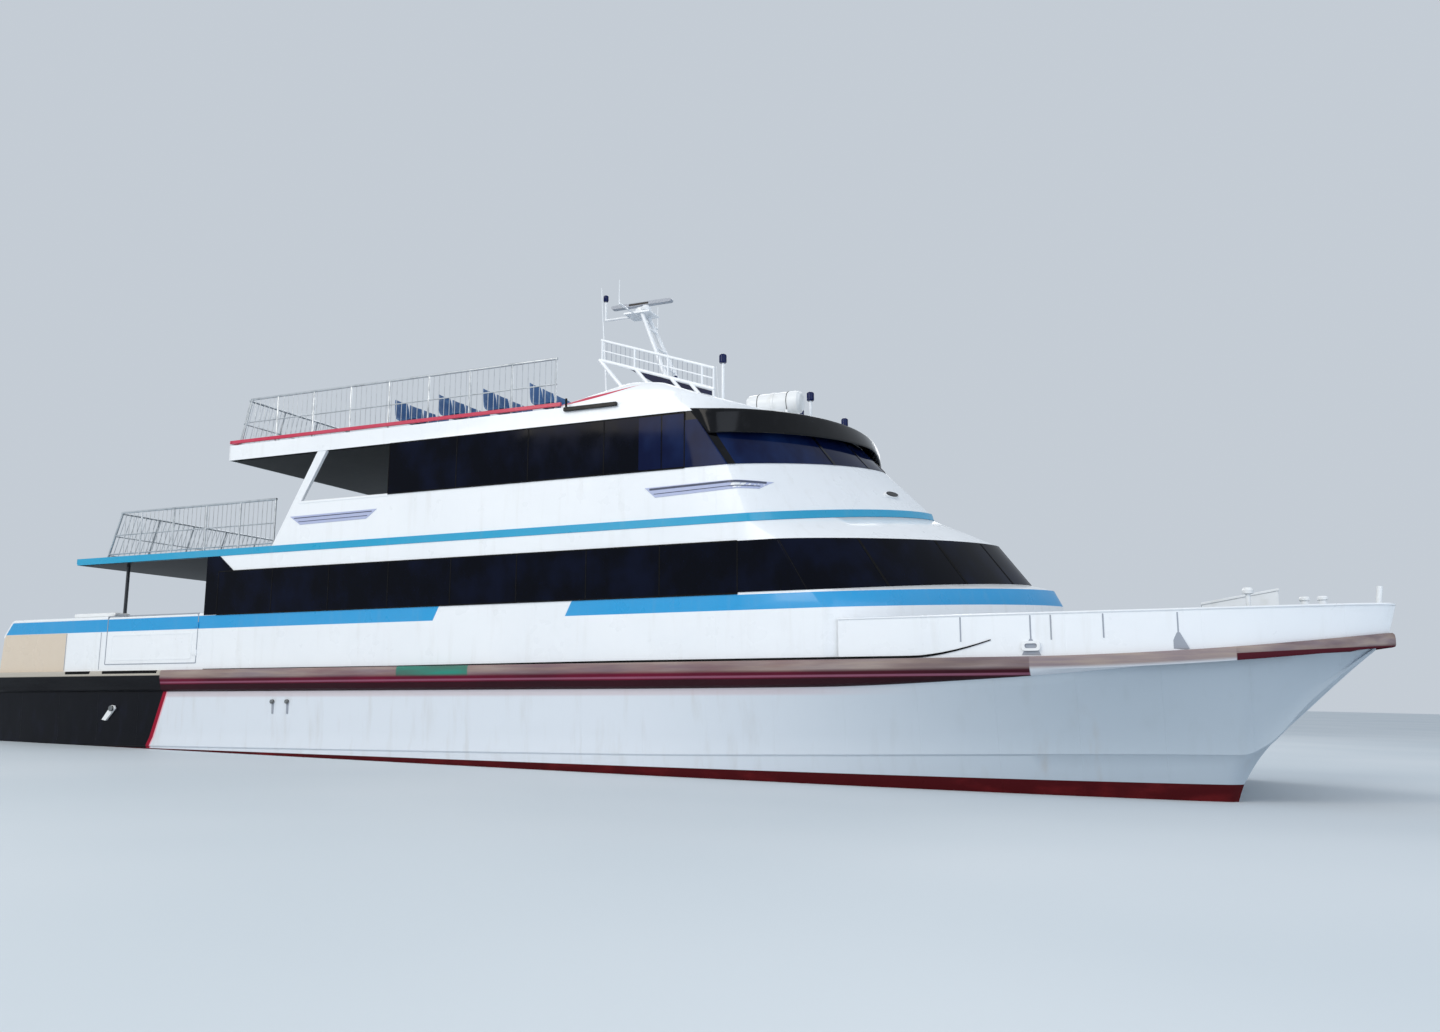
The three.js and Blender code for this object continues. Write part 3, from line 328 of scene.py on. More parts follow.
def tinted_glass(name, dark, pale, size):
    """Toughened float glass, tinted grey and bonded to the wall: nearly black from outside, with the
    slow waves that toughening leaves."""
    finish = Finish(name)
    haze = patches(finish, (size, size, size * 1.4), 0.4, 0.7, 3.0)
    rough = finish.add("MapRange", [haze, 0.0, 1.0, 0.05, 0.12])
    return finish.shade(Base_Color=over(finish, haze, srgb(dark), srgb(pale)), Roughness=rough,
                        Normal=relief(finish, patches(finish, (1300, 1300, 1300), 0.2, 0.8, 1.0), 2.0),
                        IOR=1.5, Specular_IOR_Level=0.1)


def gloss_moulding(name, code, dust_code):
    """Glass-fibre moulding with a gloss gelcoat, dulled by dust in soft patches."""
    finish = Finish(name)
    dust = patches(finish, (240, 240, 240), 0.45, 0.85)
    colour = over(finish, part_of(finish, dust, 0.5), srgb(code), srgb(dust_code))
    rough = finish.add("MapRange", [dust, 0.0, 1.0, 0.14, 0.3])
    return finish.shade(Base_Color=colour, Roughness=rough, Specular_IOR_Level=0.22,
                        Normal=relief(finish, patches(finish, (700, 700, 700), 0.2, 0.8, 2.0), 2.0))


def extruded_rubber():
    """Extruded EPDM rubber, matt, chalky grey where the sun has bleached it."""
    finish = Finish("extruded_rubber")
    chalk = patches(finish, (60, 60, 60), 0.5, 0.8, 5.0)
    return finish.shade(Base_Color=over(finish, chalk, srgb("#050507"), srgb("#18181a")), Roughness=0.75,
                        Normal=relief(finish, chalk, 1.0), Specular_IOR_Level=0.2)


def drawn_aluminium():
    """Drawn aluminium tube and sheet under a dull oxide film, with fine marks along its length."""
    finish = Finish("drawn_aluminium")
    film = patches(finish, (180, 180, 180), 0.4, 0.8, 5.0)
    rough = finish.add("MapRange", [film, 0.0, 1.0, 0.3, 0.5])
    return finish.shade(Base_Color=over(finish, film, srgb("#d3d7da"), srgb("#a7adb2")), Metallic=0.85,
                        Roughness=rough, Normal=relief(finish, patches(finish, (50, 4, 4), 0.3, 0.7, 2.0), 0.1))


def cast_steel():
    """Cast stainless steel, sand-cast skin on the outside, brown water film in the hollows."""
    finish = Finish("cast_stainless_steel")
    film = patches(finish, (90, 90, 90), 0.4, 0.75, 5.0)
    rough = finish.add("MapRange", [film, 0.0, 1.0, 0.38, 0.63])
    return finish.shade(Base_Color=over(finish, film, srgb("#8d9091"), srgb("#57524b")), Metallic=0.9,
                        Roughness=rough, Normal=relief(finish, patches(finish, (12, 12, 12), 0.3, 0.7), 0.6))


def grained_plastic(name, code, pale):
    """Injection-moulded polypropylene with a leathery grain, drawn at 8 mm instead of 1.5 mm, and worn
    shiny and paler where people sit."""
    finish = Finish(name)
    worn = patches(finish, (150, 150, 150), 0.45, 0.8)
    rough = finish.add("MapRange", [worn, 0.0, 1.0, 0.55, 0.36])
    grain = finish.add("TexVoronoi", {"Vector": finish.place, "Scale": 1000 / 8})
    return finish.shade(Base_Color=over(finish, worn, srgb(code), srgb(pale)), Roughness=rough,
                        Normal=relief(finish, grain, 0.15))


def woven_cover():
    """Flat-woven polyester seat cover: crossed threads 3 mm apart, faded in soft patches."""
    finish = Finish("woven_polyester")
    run = finish.add("Math", [finish.x, finish.z], operation="ADD")
    warp = finish.add("Math", [run, 0.003, 1.0], operation="PINGPONG")
    warp = finish.add("Math", [finish.add("Math", [run, 2000.0], operation="MULTIPLY")], operation="SINE")
    weft = finish.add("Math", [finish.add("Math", [finish.y, 2000.0], operation="MULTIPLY")], operation="SINE")
    faded = patches(finish, (240, 240, 240), 0.35, 0.8)
    threads = finish.add("Math", [warp, weft], operation="MULTIPLY")
    return finish.shade(Base_Color=over(finish, faded, srgb("#1d3d63"), srgb("#3d5c80")), Roughness=0.9,
                        Normal=relief(finish, threads, 0.4), Sheen_Weight=0.3)


# The red swoop on the side of the roof: where it starts and ends, its heights there, half its width
SWOOP = {"aft": 0.6, "fore": 2.3, "low": 6.73, "high": 6.93, "half": 0.055}


def roof_paint():
    """White two-pack gloss on the roof's sides and top, with the red line that sweeps up and thins out."""
    finish = Finish("roof_two_pack_gloss")
    share = finish.add("MapRange", [finish.x, SWOOP["aft"], SWOOP["fore"], 0.0, 1.0])
    bent = finish.add("Math", [share, 1.6], operation="POWER")
    middle = finish.add("Math", [bent, SWOOP["high"] - SWOOP["low"], SWOOP["low"]], operation="MULTIPLY_ADD")
    off = finish.add("Math", [finish.add("Math", [finish.z, middle], operation="SUBTRACT")], operation="ABSOLUTE")
    width = finish.add("Math", [share, -SWOOP["half"], SWOOP["half"]], operation="MULTIPLY_ADD")
    inside = finish.add("Math", [width, off], operation="SUBTRACT")
    red = finish.add("MapRange", [inside, -0.002, 0.004], interpolation_type="SMOOTHSTEP")
    outboard = finish.add("Math", [finish.y], operation="ABSOLUTE")
    side = finish.add("MapRange", [outboard, 3.6, 3.7], interpolation_type="SMOOTHSTEP")
    red = part_of(finish, red, side)
    paint = over(finish, red, weathered(finish, WHITE, 0.2), RED)
    return finish.shade(Base_Color=paint, Roughness=0.3, Normal=plating(finish, 1.9), Coat_Weight=0.4,
                        Coat_Roughness=0.08)


MATERIAL = {
    "banded": banded_paint(),
    "white": sprayed_paint("white_two_pack_gloss", "#f4f7fa"),
    "blue": sprayed_paint("blue_two_pack_gloss", "#0f9bd8", 0.12),
    "edge": sprayed_paint("blue_edge_enamel", "#0a9fca", 0.12),
    "red": sprayed_paint("red_stripe_enamel", "#c81e46", 0.15),
    "grey": sprayed_paint("grey_rail_enamel", "#9aa0ab", 0.3, 0.4),
    "lilac": sprayed_paint("pale_louvre_enamel", "#b4bcdc", 0.3, 0.35),
    # Slate for the louvres' slots: painted shade inside them.
    "slate": sprayed_paint("painted_slot_shade", "#3b4058", 0.2, 0.4),
    "roof": roof_paint(),
    "hull": hull_paint(),
    "maroon": rub_rail_paint(),
    "deck": deck_paint(),
    "glass": tinted_glass("bonded_tinted_glass", "#03050f", "#080e22", 700),
    "screen": tinted_glass("wheelhouse_tinted_glass", "#0a1334", "#152750", 900),
    "black": gloss_moulding("black_gelcoat_moulding", "#07080c", "#1b1c20"),
    "shell": gloss_moulding("white_gelcoat_moulding", "#f1f3f4", "#cfcfc8"),
    "lens": gloss_moulding("navy_lamp_lens", "#0b1a4a", "#24345c"),
    "rubber": extruded_rubber(),
    "alloy": drawn_aluminium(),
    "steel": cast_steel(),
    "seat": grained_plastic("blue_seat_shell", "#23456e", "#3f5f85"),
    "bench": grained_plastic("bright_blue_seat_shell", "#2a5d93", "#4d7cab"),
    "desk": grained_plastic("charcoal_console_shell", "#24272c", "#3b3f45"),
    "cover": woven_cover(),
}


def skin(rings, ends="cap", closed=True):
    """Faces between neighbouring rings of a grid of points, rings by columns. closed joins each ring's
    ends. ends is cap to fill the first and last ring, wrap to join them, or open."""
    rings = np.asarray(rings, float)
    rows, columns = rings.shape[:2]
    at = np.arange(rows * columns).reshape(rows, columns)
    first, last = at[0], at[-1]
    if closed:
        at = np.column_stack([at, at[:, 0]])
    if ends == "wrap":
        at = np.vstack([at, at[:1]])
    faces = np.stack([at[:-1, :-1], at[:-1, 1:], at[1:, 1:], at[1:, :-1]], axis=-1).reshape(-1, 4).tolist()
    if ends == "cap":
        faces += [first[::-1].tolist(), last.tolist()]
    return rings.reshape(-1, 3), faces


def plate(outline, y0, y1):
    """A flat upright plate: an outline of (x, z) corners between two y."""
    x, z = np.array(outline, float).T
    return skin([np.column_stack([x, np.full_like(x, y), z]) for y in (y0, y1)])


def block(x0, x1, y0, y1, z0, z1):
    return plate([(x0, z0), (x1, z0), (x1, z1), (x0, z1)], y0, y1)


def tube(path, radius, sides=10):
    """Round bar along a path: a circle square to the path at each point. The circle's first axis is
    square to the path and to whichever of X, Y and Z the path follows least."""
    path = np.array(path, float)
    ahead = np.gradient(path, axis=0)
    ahead /= np.linalg.norm(ahead, axis=1, keepdims=True)
    across = np.cross(ahead, np.eye(3)[np.argmin(np.abs(ahead).max(axis=0))])
    across /= np.linalg.norm(across, axis=1, keepdims=True)
    other = np.cross(ahead, across)
    turn = np.linspace(0, 2 * math.pi, sides, endpoint=False)[:, None]
    circle = np.cos(turn) * across[:, None] + np.sin(turn) * other[:, None]
    return skin(path[:, None] + np.broadcast_to(radius, len(path))[:, None, None] * circle)


def turned(profile, centre, axis, sides=32):
    """Turned body: a profile of (radius, distance along the axis) carried round an axis, 0, 1 or 2."""
    radius, along = np.array(profile, float).T
    turn = np.linspace(0, 2 * math.pi, sides, endpoint=False)
    rings = np.zeros((len(radius), sides, 3)) + np.array(centre)
    rings[:, :, axis] += along[:, None]
    rings[:, :, (axis + 1) % 3] += radius[:, None] * np.cos(turn)
    rings[:, :, (axis + 2) % 3] += radius[:, None] * np.sin(turn)
    return skin(rings)


def rounded(u0, u1, v0, v1, radius, corner=6):
    """Rectangle with round corners, as an outline of (u, v): a quarter circle about each corner's
    centre, counter-clockwise."""
    turn = np.linspace(0, math.pi / 2, corner) + np.arange(4)[:, None] * math.pi / 2
    centre_u = np.array([u1, u0, u0, u1])[:, None] + radius * np.array([-1, 1, 1, -1])[:, None]
    centre_v = np.array([v1, v1, v0, v0])[:, None] + radius * np.array([-1, -1, 1, 1])[:, None]
    return np.column_stack([(centre_u + radius * np.cos(turn)).ravel(), (centre_v + radius * np.sin(turn)).ravel()])


def standing(outline, axis, place):
    """Puts an outline of (u, v) on the plane where the coordinate axis, 0 for x or 1 for y, is place."""
    u, v = np.asarray(outline).T
    level = np.full_like(u, place)
    return np.column_stack([level, u, v] if axis == 0 else [u, level, v])


def framed(outer, inner, axis, near, far):
    """Flat frame between two outlines of equally many points, from place near to place far."""
    return skin([standing(outer, axis, near), standing(inner, axis, near), standing(inner, axis, far),
                 standing(outer, axis, far)], "wrap")


def slab(outline, axis, near, far):
    """Flat board of an outline, from place near to place far."""
    return skin([standing(outline, axis, near), standing(outline, axis, far)])


def copies(part, shifts):
    """The same part at several shifts, as one part."""
    points, faces = part
    shifts = np.asarray(shifts, float)
    every = (points[None] + shifts[:, None]).reshape(-1, 3)
    return every, [[i + n * len(points) for i in face] for n in range(len(shifts)) for face in faces]


class Shape:
    """Points and faces of one piece, put together from parts."""

    def __init__(self):
        self.points = []
        self.faces = []
        self.slots = []
        self.count = 0

    def add(self, part, slot=0, both=False):
        """Adds a part. slot is its material's place in the piece's list, or one such place for each
        face. both adds it on the port side too."""
        points, faces = part
        for side in (1, -1) if both else (1,):
            self.points.append(points * (1, side, 1))
            self.faces += [[self.count + i for i in face] for face in faces]
            self.slots += slot if isinstance(slot, list) else [slot] * len(faces)
            self.count += len(points)
        return self

    def port(self):
        """The same shape on the port side."""
        other = Shape()
        other.points = [points * (1, -1, 1) for points in self.points]
        other.faces, other.slots, other.count = self.faces, self.slots, self.count
        return other


def make(name, shape, materials, body="boat", replaces=(), bevel=0.0):
    """Turns a shape into a piece that rides on a body. Its skin is smooth but for edges over 32 degrees."""
    mesh = bpy.data.meshes.new(name)
    mesh.from_pydata(np.vstack(shape.points).tolist(), [], shape.faces)
    for key in materials:
        mesh.materials.append(MATERIAL[key])
    mesh.polygons.foreach_set("material_index", shape.slots)
    work = bmesh.new()
    work.from_mesh(mesh)
    bmesh.ops.recalc_face_normals(work, faces=work.faces)
    work.to_mesh(mesh)
    work.free()
    mesh.shade_smooth()
    mesh.set_sharp_from_angle(angle=math.radians(32))
    piece = bpy.data.objects.new(name, mesh)
    bpy.context.scene.collection.objects.link(piece)
    if bevel:
        modifier = piece.modifiers.new("edges", "BEVEL")
        modifier.width = bevel
        modifier.segments = 2
        modifier.limit_method = "ANGLE"
        modifier.angle_limit = math.radians(40)
        modifier.harden_normals = True
    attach(piece, body)
    if replaces:
        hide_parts(*replaces)
    return piece


def make_pair(name, shape, materials, body=None, replaces=(), bevel=0.0):
    """The starboard piece and its mirror image to port. A body's or node's name ends in the side."""
    for side, one in (("starboard", shape), ("port", shape.port())):
        make(f"{name}_{side}", one, materials, f"{body}_{side}" if body else "boat",
             [f"{node}_{side}" for node in replaces], bevel)


def smooth_curve(xs, ys, x):
    """Cubic curve through points that never overshoots them: its slope at a point is the harmonic
    mean of the slopes on both sides, or zero where they turn."""
    xs, ys, x = np.asarray(xs, float), np.asarray(ys, float), np.asarray(x, float)
    steps = np.diff(xs)
    slopes = np.diff(ys) / steps
    product = slopes[:-1] * slopes[1:]
    total = np.where(product > 0, slopes[:-1] + slopes[1:], 1.0)
    tangents = np.concatenate([slopes[:1], np.where(product > 0, 2 * product / total, 0.0), slopes[-1:]])
    i = np.clip(np.searchsorted(xs, x, side="right") - 1, 0, len(xs) - 2)
    t = (x - xs[i]) / steps[i]
    return (ys[i] * (1 + 2 * t) * (1 - t) ** 2 + tangents[i] * steps[i] * t * (1 - t) ** 2
            + ys[i + 1] * t * t * (3 - 2 * t) + tangents[i + 1] * steps[i] * t * t * (t - 1))


def sheer(x):
    """Height that the deck gains towards the bow: the square of the share of the way there."""
    return SHEER * np.maximum(0.0, (np.asarray(x, float) - SHEER_START) / (BOW_TIP - SHEER_START)) ** 2


# Hull stations. Columns: x, keel height, bilge height and half breadth, knuckle height and half
# breadth, lower edge of the rub rail, half breadth of the hull at the deck.
HULL = np.array([
    [TRANSOM, -0.7, -0.42, 1.12, 0.35, 1.215, 1.45, 1.25],
    [-10.0, -1.0, -0.56, 1.11, 0.35, 1.215, 1.45, 1.25],
    [-4.0, -1.35, -0.68, 1.04, 0.35, 1.2, 1.45, 1.25],
    [2.0, -1.4, -0.7, 0.96, 0.36, 1.15, 1.45, 1.25],
    [5.5, -1.4, -0.68, 0.8, 0.4, 1.04, 1.46, 1.25],
    [SHEER_START, -1.38, -0.62, 0.52, 0.45, 0.81, 1.59, 1.25],
    [10.0, -1.26, -0.56, 0.35, 0.465, 0.64, 1.69, 1.175],
    [11.0, -1.02, -0.44, 0.215, 0.47, 0.48, 1.78, 1.04],
    [11.6, -0.62, -0.25, 0.12, 0.47, 0.37, 1.83, 0.92],
    [11.83, 0, 0.1, 0.07, 0.47, 0.32, 1.85, 0.865],
    [12.15, 0.5, 0.54, 0.05, 0.6, 0.23, 1.87, 0.775],
    [12.8, 1.14, 1.18, 0.05, 1.26, 0.19, 1.9, 0.57],
    [13.4, 1.7, 1.73, 0.05, 1.78, 0.14, 1.93, 0.33],
    [13.7, 1.96, 1.98, 0.045, 2.0, 0.06, 2.02, 0.16],
])
TIP = {"half": 0.06, "rub": 2.06}
KEEL_HALF = 0.04
DECK_UNDER = 1.8


def hull_value(column, x, at_tip):
    stations = np.append(HULL[:, 0], BOW_TIP)
    return smooth_curve(stations, np.append(HULL[:, column], at_tip), x)


def deck_half(x):
    return hull_value(7, x, TIP["half"])


def hull_skin():
    """The starboard hull. Each section falls from the deck's edge in a flare that is hollow forward,
    steps in at the knuckle, and runs to the keel on a parabola that bulges at the bilge."""
    x = np.concatenate([np.linspace(TRANSOM, 5.5, 60), np.linspace(5.7, 11.0, 40), np.linspace(11.06, 13.7, 60)])
    keel, bilge_z, bilge, knuckle_z, knuckle, rub, deck = (
        smooth_curve(HULL[:, 0], HULL[:, c], x)[:, None] for c in range(1, 8))
    top = DECK_UNDER + sheer(x)[:, None] - 0.001
    down = np.linspace(0, 1, 8)[None, 1:-1]
    forward = np.clip((x[:, None] - 4) / 5, 0, 1)
    flare = deck + (knuckle - deck) * down - 0.05 * np.sin(math.pi * down) * forward
    ledge = np.minimum(0.03, 0.3 * knuckle)
    t = np.linspace(0, 1, 12)[None]
    pull_z = bilge_z - 0.1 * (bilge_z - keel)
    belly = (1 - t) ** 2 * knuckle + 2 * t * (1 - t) * bilge * 1.12 + t ** 2 * KEEL_HALF
    belly_z = (1 - t) ** 2 * (knuckle_z - 0.05) + 2 * t * (1 - t) * pull_z + t ** 2 * keel
    half = np.hstack([deck, deck, flare, knuckle + ledge, knuckle + ledge, belly])
    height = np.hstack([top, rub, rub + (knuckle_z - rub) * down, knuckle_z, knuckle_z - 0.02,
                        np.maximum(belly_z, keel)])
    station = np.broadcast_to(x[:, None], half.shape)
    outer = np.stack([station, -HULL_CENTRE - half, height], axis=-1)
    inner = np.stack([station, -HULL_CENTRE + half, height], axis=-1)[:, ::-1]
    return skin(np.concatenate([outer, inner], axis=1))


# Water jets: height of the axis, stations of the casing, the steering axis and the mouth, the pin
JET = {"z": -0.06, "casing_end": TRANSOM - 0.42, "axis": TRANSOM - 0.56, "end": TRANSOM - 0.95,
       "pin_x": TRANSOM - 0.745, "pin_z": 0.27}


def jet_casing():
    depth = TRANSOM - JET["casing_end"]
    profile = np.array([
        (0.02, -0.06), (0.39, -0.06), (0.39, 0.055), (0.385, 0.06), (0.33, 0.075), (0.3, 0.16), (0.27, 0.28),
        (0.24, depth - 0.03), (0.24, depth), (0.2, depth), (0.2, depth - 0.16), (0.02, depth - 0.16)])
    return turned(profile * (1, -1), (TRANSOM, -HULL_CENTRE, JET["z"]), 0, 48)


def build_hulls():
    shape = Shape().add(hull_skin()).add(jet_casing(), 1)
    for side in (1, -1):
        low, high = sorted((JET["z"] + side * 0.232, JET["z"] + side * 0.265))
        shape.add(block(JET["axis"] - 0.06, JET["casing_end"] + 0.06, -HULL_CENTRE - 0.07, -HULL_CENTRE + 0.07,
                        low, high), 1)
    turn = np.linspace(0, 2 * math.pi, 16, endpoint=False)
    bolt = turned([(0.018, 0.0), (0.018, 0.03), (0.012, 0.036)], (TRANSOM - 0.09, -HULL_CENTRE, JET["z"]), 0, 6)
    round_flange = np.column_stack([np.zeros(16), 0.362 * np.cos(turn), 0.362 * np.sin(turn)])
    shape.add(copies(bolt, round_flange), 1)
    make_pair("hull_skin", shape, ["hull", "steel"], replaces=["hull"])


def build_jets():
    """Steering nozzles with their sleeves and lugs, and the reversing buckets on pins in the lugs."""
    length = JET["axis"] + 0.02 - JET["end"]
    sleeve = [(0.183, 0.0), (0.215, 0.0), (0.215, -0.04), (0.205, -0.06), (0.19, -length), (0.158, -length),
              (0.165, -length * 0.8), (0.18, -0.02)]
    radius, along = np.array(sleeve).T
    turn = np.linspace(0, 2 * math.pi, 48, endpoint=False)
    y = -HULL_CENTRE + radius[:, None] * np.cos(turn)
    z = JET["z"] + radius[:, None] * np.sin(turn)
    x = np.broadcast_to((JET["axis"] + 0.02 + along)[:, None], y.shape)
    nozzle = Shape().add(skin(np.stack([x, y, z], axis=-1), "wrap"))
    pin_x, pin_z = JET["pin_x"], JET["pin_z"]
    lug = [(-0.055, JET["z"] + 0.09), (0.055, JET["z"] + 0.09), (0.055, pin_z + 0.02), (0.03, pin_z + 0.05),
           (-0.03, pin_z + 0.05), (-0.055, pin_z + 0.02)]
    for side in (1, -1):
        z = JET["z"]
        ends = [(JET["axis"], -HULL_CENTRE, z + side * 0.19), (JET["axis"], -HULL_CENTRE, z + side * 0.2315)]
        nozzle.add(tube(ends, 0.045, 24))
        low, high = sorted((-HULL_CENTRE + side * 0.16, -HULL_CENTRE + side * 0.21))
        nozzle.add(plate([(pin_x + dx, dz) for dx, dz in lug], low, high))
    make_pair("jet_nozzle_body", nozzle, ["steel"], "nozzle", ["jet_nozzle"])
    bucket = Shape()
    top = [(-0.435, 0.04), (-0.42, 0.09), (-0.385, 0.13), (-0.3, 0.135), (-0.205, 0.11)]
    arm = [(-0.055, 0.05), (0.03, 0.055), (0.055, 0.03), (0.055, -0.03), (0.03, -0.05), (-0.265, -0.06)] + top
    hood = top + [(-0.205, 0.08), (-0.3, 0.105), (-0.37, 0.095), (-0.41, 0.04)]
    arm, hood = [[(pin_x + dx, pin_z + dz) for dx, dz in outline] for outline in (arm, hood)]
    for side in (1, -1):
        low, high = sorted((-HULL_CENTRE + side * 0.225, -HULL_CENTRE + side * 0.255))
        bucket.add(plate(arm, low, high))
        bucket.add(tube([(pin_x, -HULL_CENTRE + side * y, pin_z) for y in (0.2105, 0.258)], 0.03, 20))
    bucket.add(plate(hood, -HULL_CENTRE - 0.23, -HULL_CENTRE + 0.23))
    make_pair("jet_bucket_body", bucket, ["steel"], "bucket", ["jet_bucket"], 0.004)


def edge_path(first, inside=None):
    """The deck's outer edge in plan, from x = first forward to the bow tip, and back along its straight
    inner edge to x = inside."""
    x = np.linspace(first, BOW_TIP, 110)
    path = np.column_stack([x, -HULL_CENTRE - deck_half(x)])
    if inside is None:
        return path
    x = np.linspace(BOW_TIP, inside, 16)[1:]
    share = (x - FORE_EDGE) / (BOW_TIP - FORE_EDGE)
    inner = -BRIDGE_HALF + (-HULL_CENTRE + TIP["half"] + BRIDGE_HALF) * share
    return np.vstack([path, np.column_stack([x, inner])])


def carried(path, out, height):
    """Carries a profile along a path in plan. out and height give, for each point of the path, how far
    to the right each corner of the profile lies, and its height."""
    ahead = np.gradient(path, axis=0)
    ahead /= np.linalg.norm(ahead, axis=1, keepdims=True)
    x = path[:, :1] + ahead[:, 1:] * out
    y = path[:, 1:] - ahead[:, :1] * out
    return skin(np.stack([np.minimum(x, BOW_LIMIT), y, height], axis=-1))


def build_rub_rails():
    path = edge_path(TRANSOM, 13.45)
    x = path[:, :1]
    low, high = hull_value(6, x, TIP["rub"]), DECK + sheer(x)
    out = np.array([0.0, 0.05, 0.075, 0.115, 0.128, 0.13, 0.122, 0.095, 0.0]) + 0 * x
    height = np.hstack([low, low + 0.02, low + 0.045, high - 0.2, high - 0.17, high - 0.08, high - 0.03,
                        high - 0.002, high])
    make_pair("rub_rail_face", Shape().add(carried(path, out, height)), ["maroon"], replaces=["rub_rail"])
    strips = Shape()
    for aft, fore in ((-11.74, -10.98), (-10.6, -8.98)):
        outline = rounded(aft, fore, DECK - 0.075, DECK - 0.005, 0.02)
        strips.add(slab(outline, 1, -HALF - 0.128, -HALF - 0.001))
    make_pair("fender_strips", strips, ["rubber"], bevel=0.006)


# Levels of the two deckhouses. Columns: height at the side, start of the nose curve, its tip, how far
# the line rises from the side to the tip, and the power that flattens the curve in plan.
LEVELS = {
    "foot": (1.9003, 5.7, 9.0, 0.006, 1.5),
    "band_low": (2.75, 5.7, 9.02, 0.22, 1.5),
    "band": (3.01, 5.5, 8.87, 0.26, 1.5),
    "sill": (3.05, 5.4, 8.45, 0.34, 1.5),
    "head": (3.93, 4.9, 7.86, 0.24, 1.5),
    "eave": (4.259, 4.38, 6.64, 0.48, 1.5),
    "deck_low": (4.26, 4.38, 6.64, 0.48, 1.5),
    "deck_high": (4.4, 4.36, 6.6, 0.47, 1.5),
    "upper_foot": (4.4003, 4.35, 6.59, 0.47, 1.5),
    "upper_sill": (5.28, 4.0, 5.68, 0.5, 1.5),
    "upper_head": (6.299, 3.3, 5.15, 0.06, 1.3),
    "top_low": (6.3, 3.3, 5.15, 0.06, 1.3),
    "top_high": (6.62, 2.9, 5.1, -0.18, 1.3),
    "brow_low": (5.82, 3.7, 5.45, 0.41, 1.35),
    "brow_high": (6.3, 3.5, 5.29, 0.29, 1.1),
}
# Posts between the panes of a nose: angles off the tip, in degrees
POSTS = [(-90, -84), (-60, -56), (-38, -34), (-20, -16), (-2, 2), (16, 20), (34, 38), (56, 60), (84, 90)]


def level_of(name):
    return LEVELS[name] if isinstance(name, str) else name


def mix_levels(a, b, share):
    return tuple(p * (1 - share) + q * share for p, q in zip(level_of(a), level_of(b)))


# Where the brow over the wheelhouse covers the glass
UNDER_BROW = mix_levels("upper_sill", "upper_head", 0.84)


def nose_line(level, angles, out=0.0):
    """A level's plan curve at angles off the tip, moved out along its normal: x runs from start to tip
    with the cosine to a power, y is half the beam times the sine to that power, and the height rises
    with the square of the cosine."""
    z, start, tip, rise, power = level_of(level)
    ahead = np.maximum(np.cos(angles), 1e-4)
    aside = np.maximum(np.abs(np.sin(angles)), 1e-4)
    normal_x = HALF * aside ** (power - 1) * ahead
    normal_y = (tip - start) * ahead ** (power - 1) * aside
    size = np.hypot(normal_x, normal_y)
    x = start + (tip - start) * ahead ** power + normal_x / size * out
    y = np.sign(angles) * (HALF * aside ** power + normal_y / size * out)
    return np.column_stack([x, y, z + rise * ahead ** 2])


def level_half(level, x):
    """Half breadth of a level's plan curve at x."""
    _, start, tip, _, power = level_of(level)
    ahead = np.clip((x - start) / (tip - start), 0, 1) ** (1 / power)
    return HALF * (1 - ahead ** 2) ** (power / 2)


def nose_wall(levels, outside, inside, start=None, degrees=(-90, 90), steps=80):
    """Wall round a nose between two offsets. start carries it aft along both sides to that x."""
    angles = np.radians(np.linspace(*degrees, steps + 1))
    faces = [(level, outside) for level in levels] + [(level, inside) for level in levels[::-1]]
    rings = np.stack([nose_line(level, angles, out) for level, out in faces], axis=1)
    if start is not None:
        ends = [[(start, side * (HALF + out), level_of(level)[0]) for level, out in faces] for side in (-1, 1)]
        rings = np.concatenate([[ends[0]], rings, [ends[1]]])
    return skin(rings)


def front(levels_low, levels_high, start, blue=None, over_windows=0):
    """Walls under and over the windows of a nose, and the posts between the panes. blue is the number
    of the strip under the windows that is painted blue, over_windows the slot of the wall over them."""
    low = nose_wall(levels_low, 0.0, -WALL, start)
    columns = 2 * len(levels_low)
    slots = [1 if i % columns == blue else 0 for i in range(len(low[1]) - 2)] + [0, 0]
    shape = Shape().add(low, slots).add(nose_wall(levels_high, 0.0, -WALL, start), over_windows)
    for first, last in POSTS:
        shape.add(nose_wall([levels_low[-1], levels_high[0]], -0.002, -WALL, None, (first, last), 3))
    return shape


def joints_of(levels, degrees, half, out):
    """Sealed joints between the panes of a nose: narrow strips on the glass, by their angles."""
    shape = Shape()
    for middle in degrees:
        shape.add(nose_wall(levels, out, 0.004, None, (middle - half, middle + half), 2))
    return shape


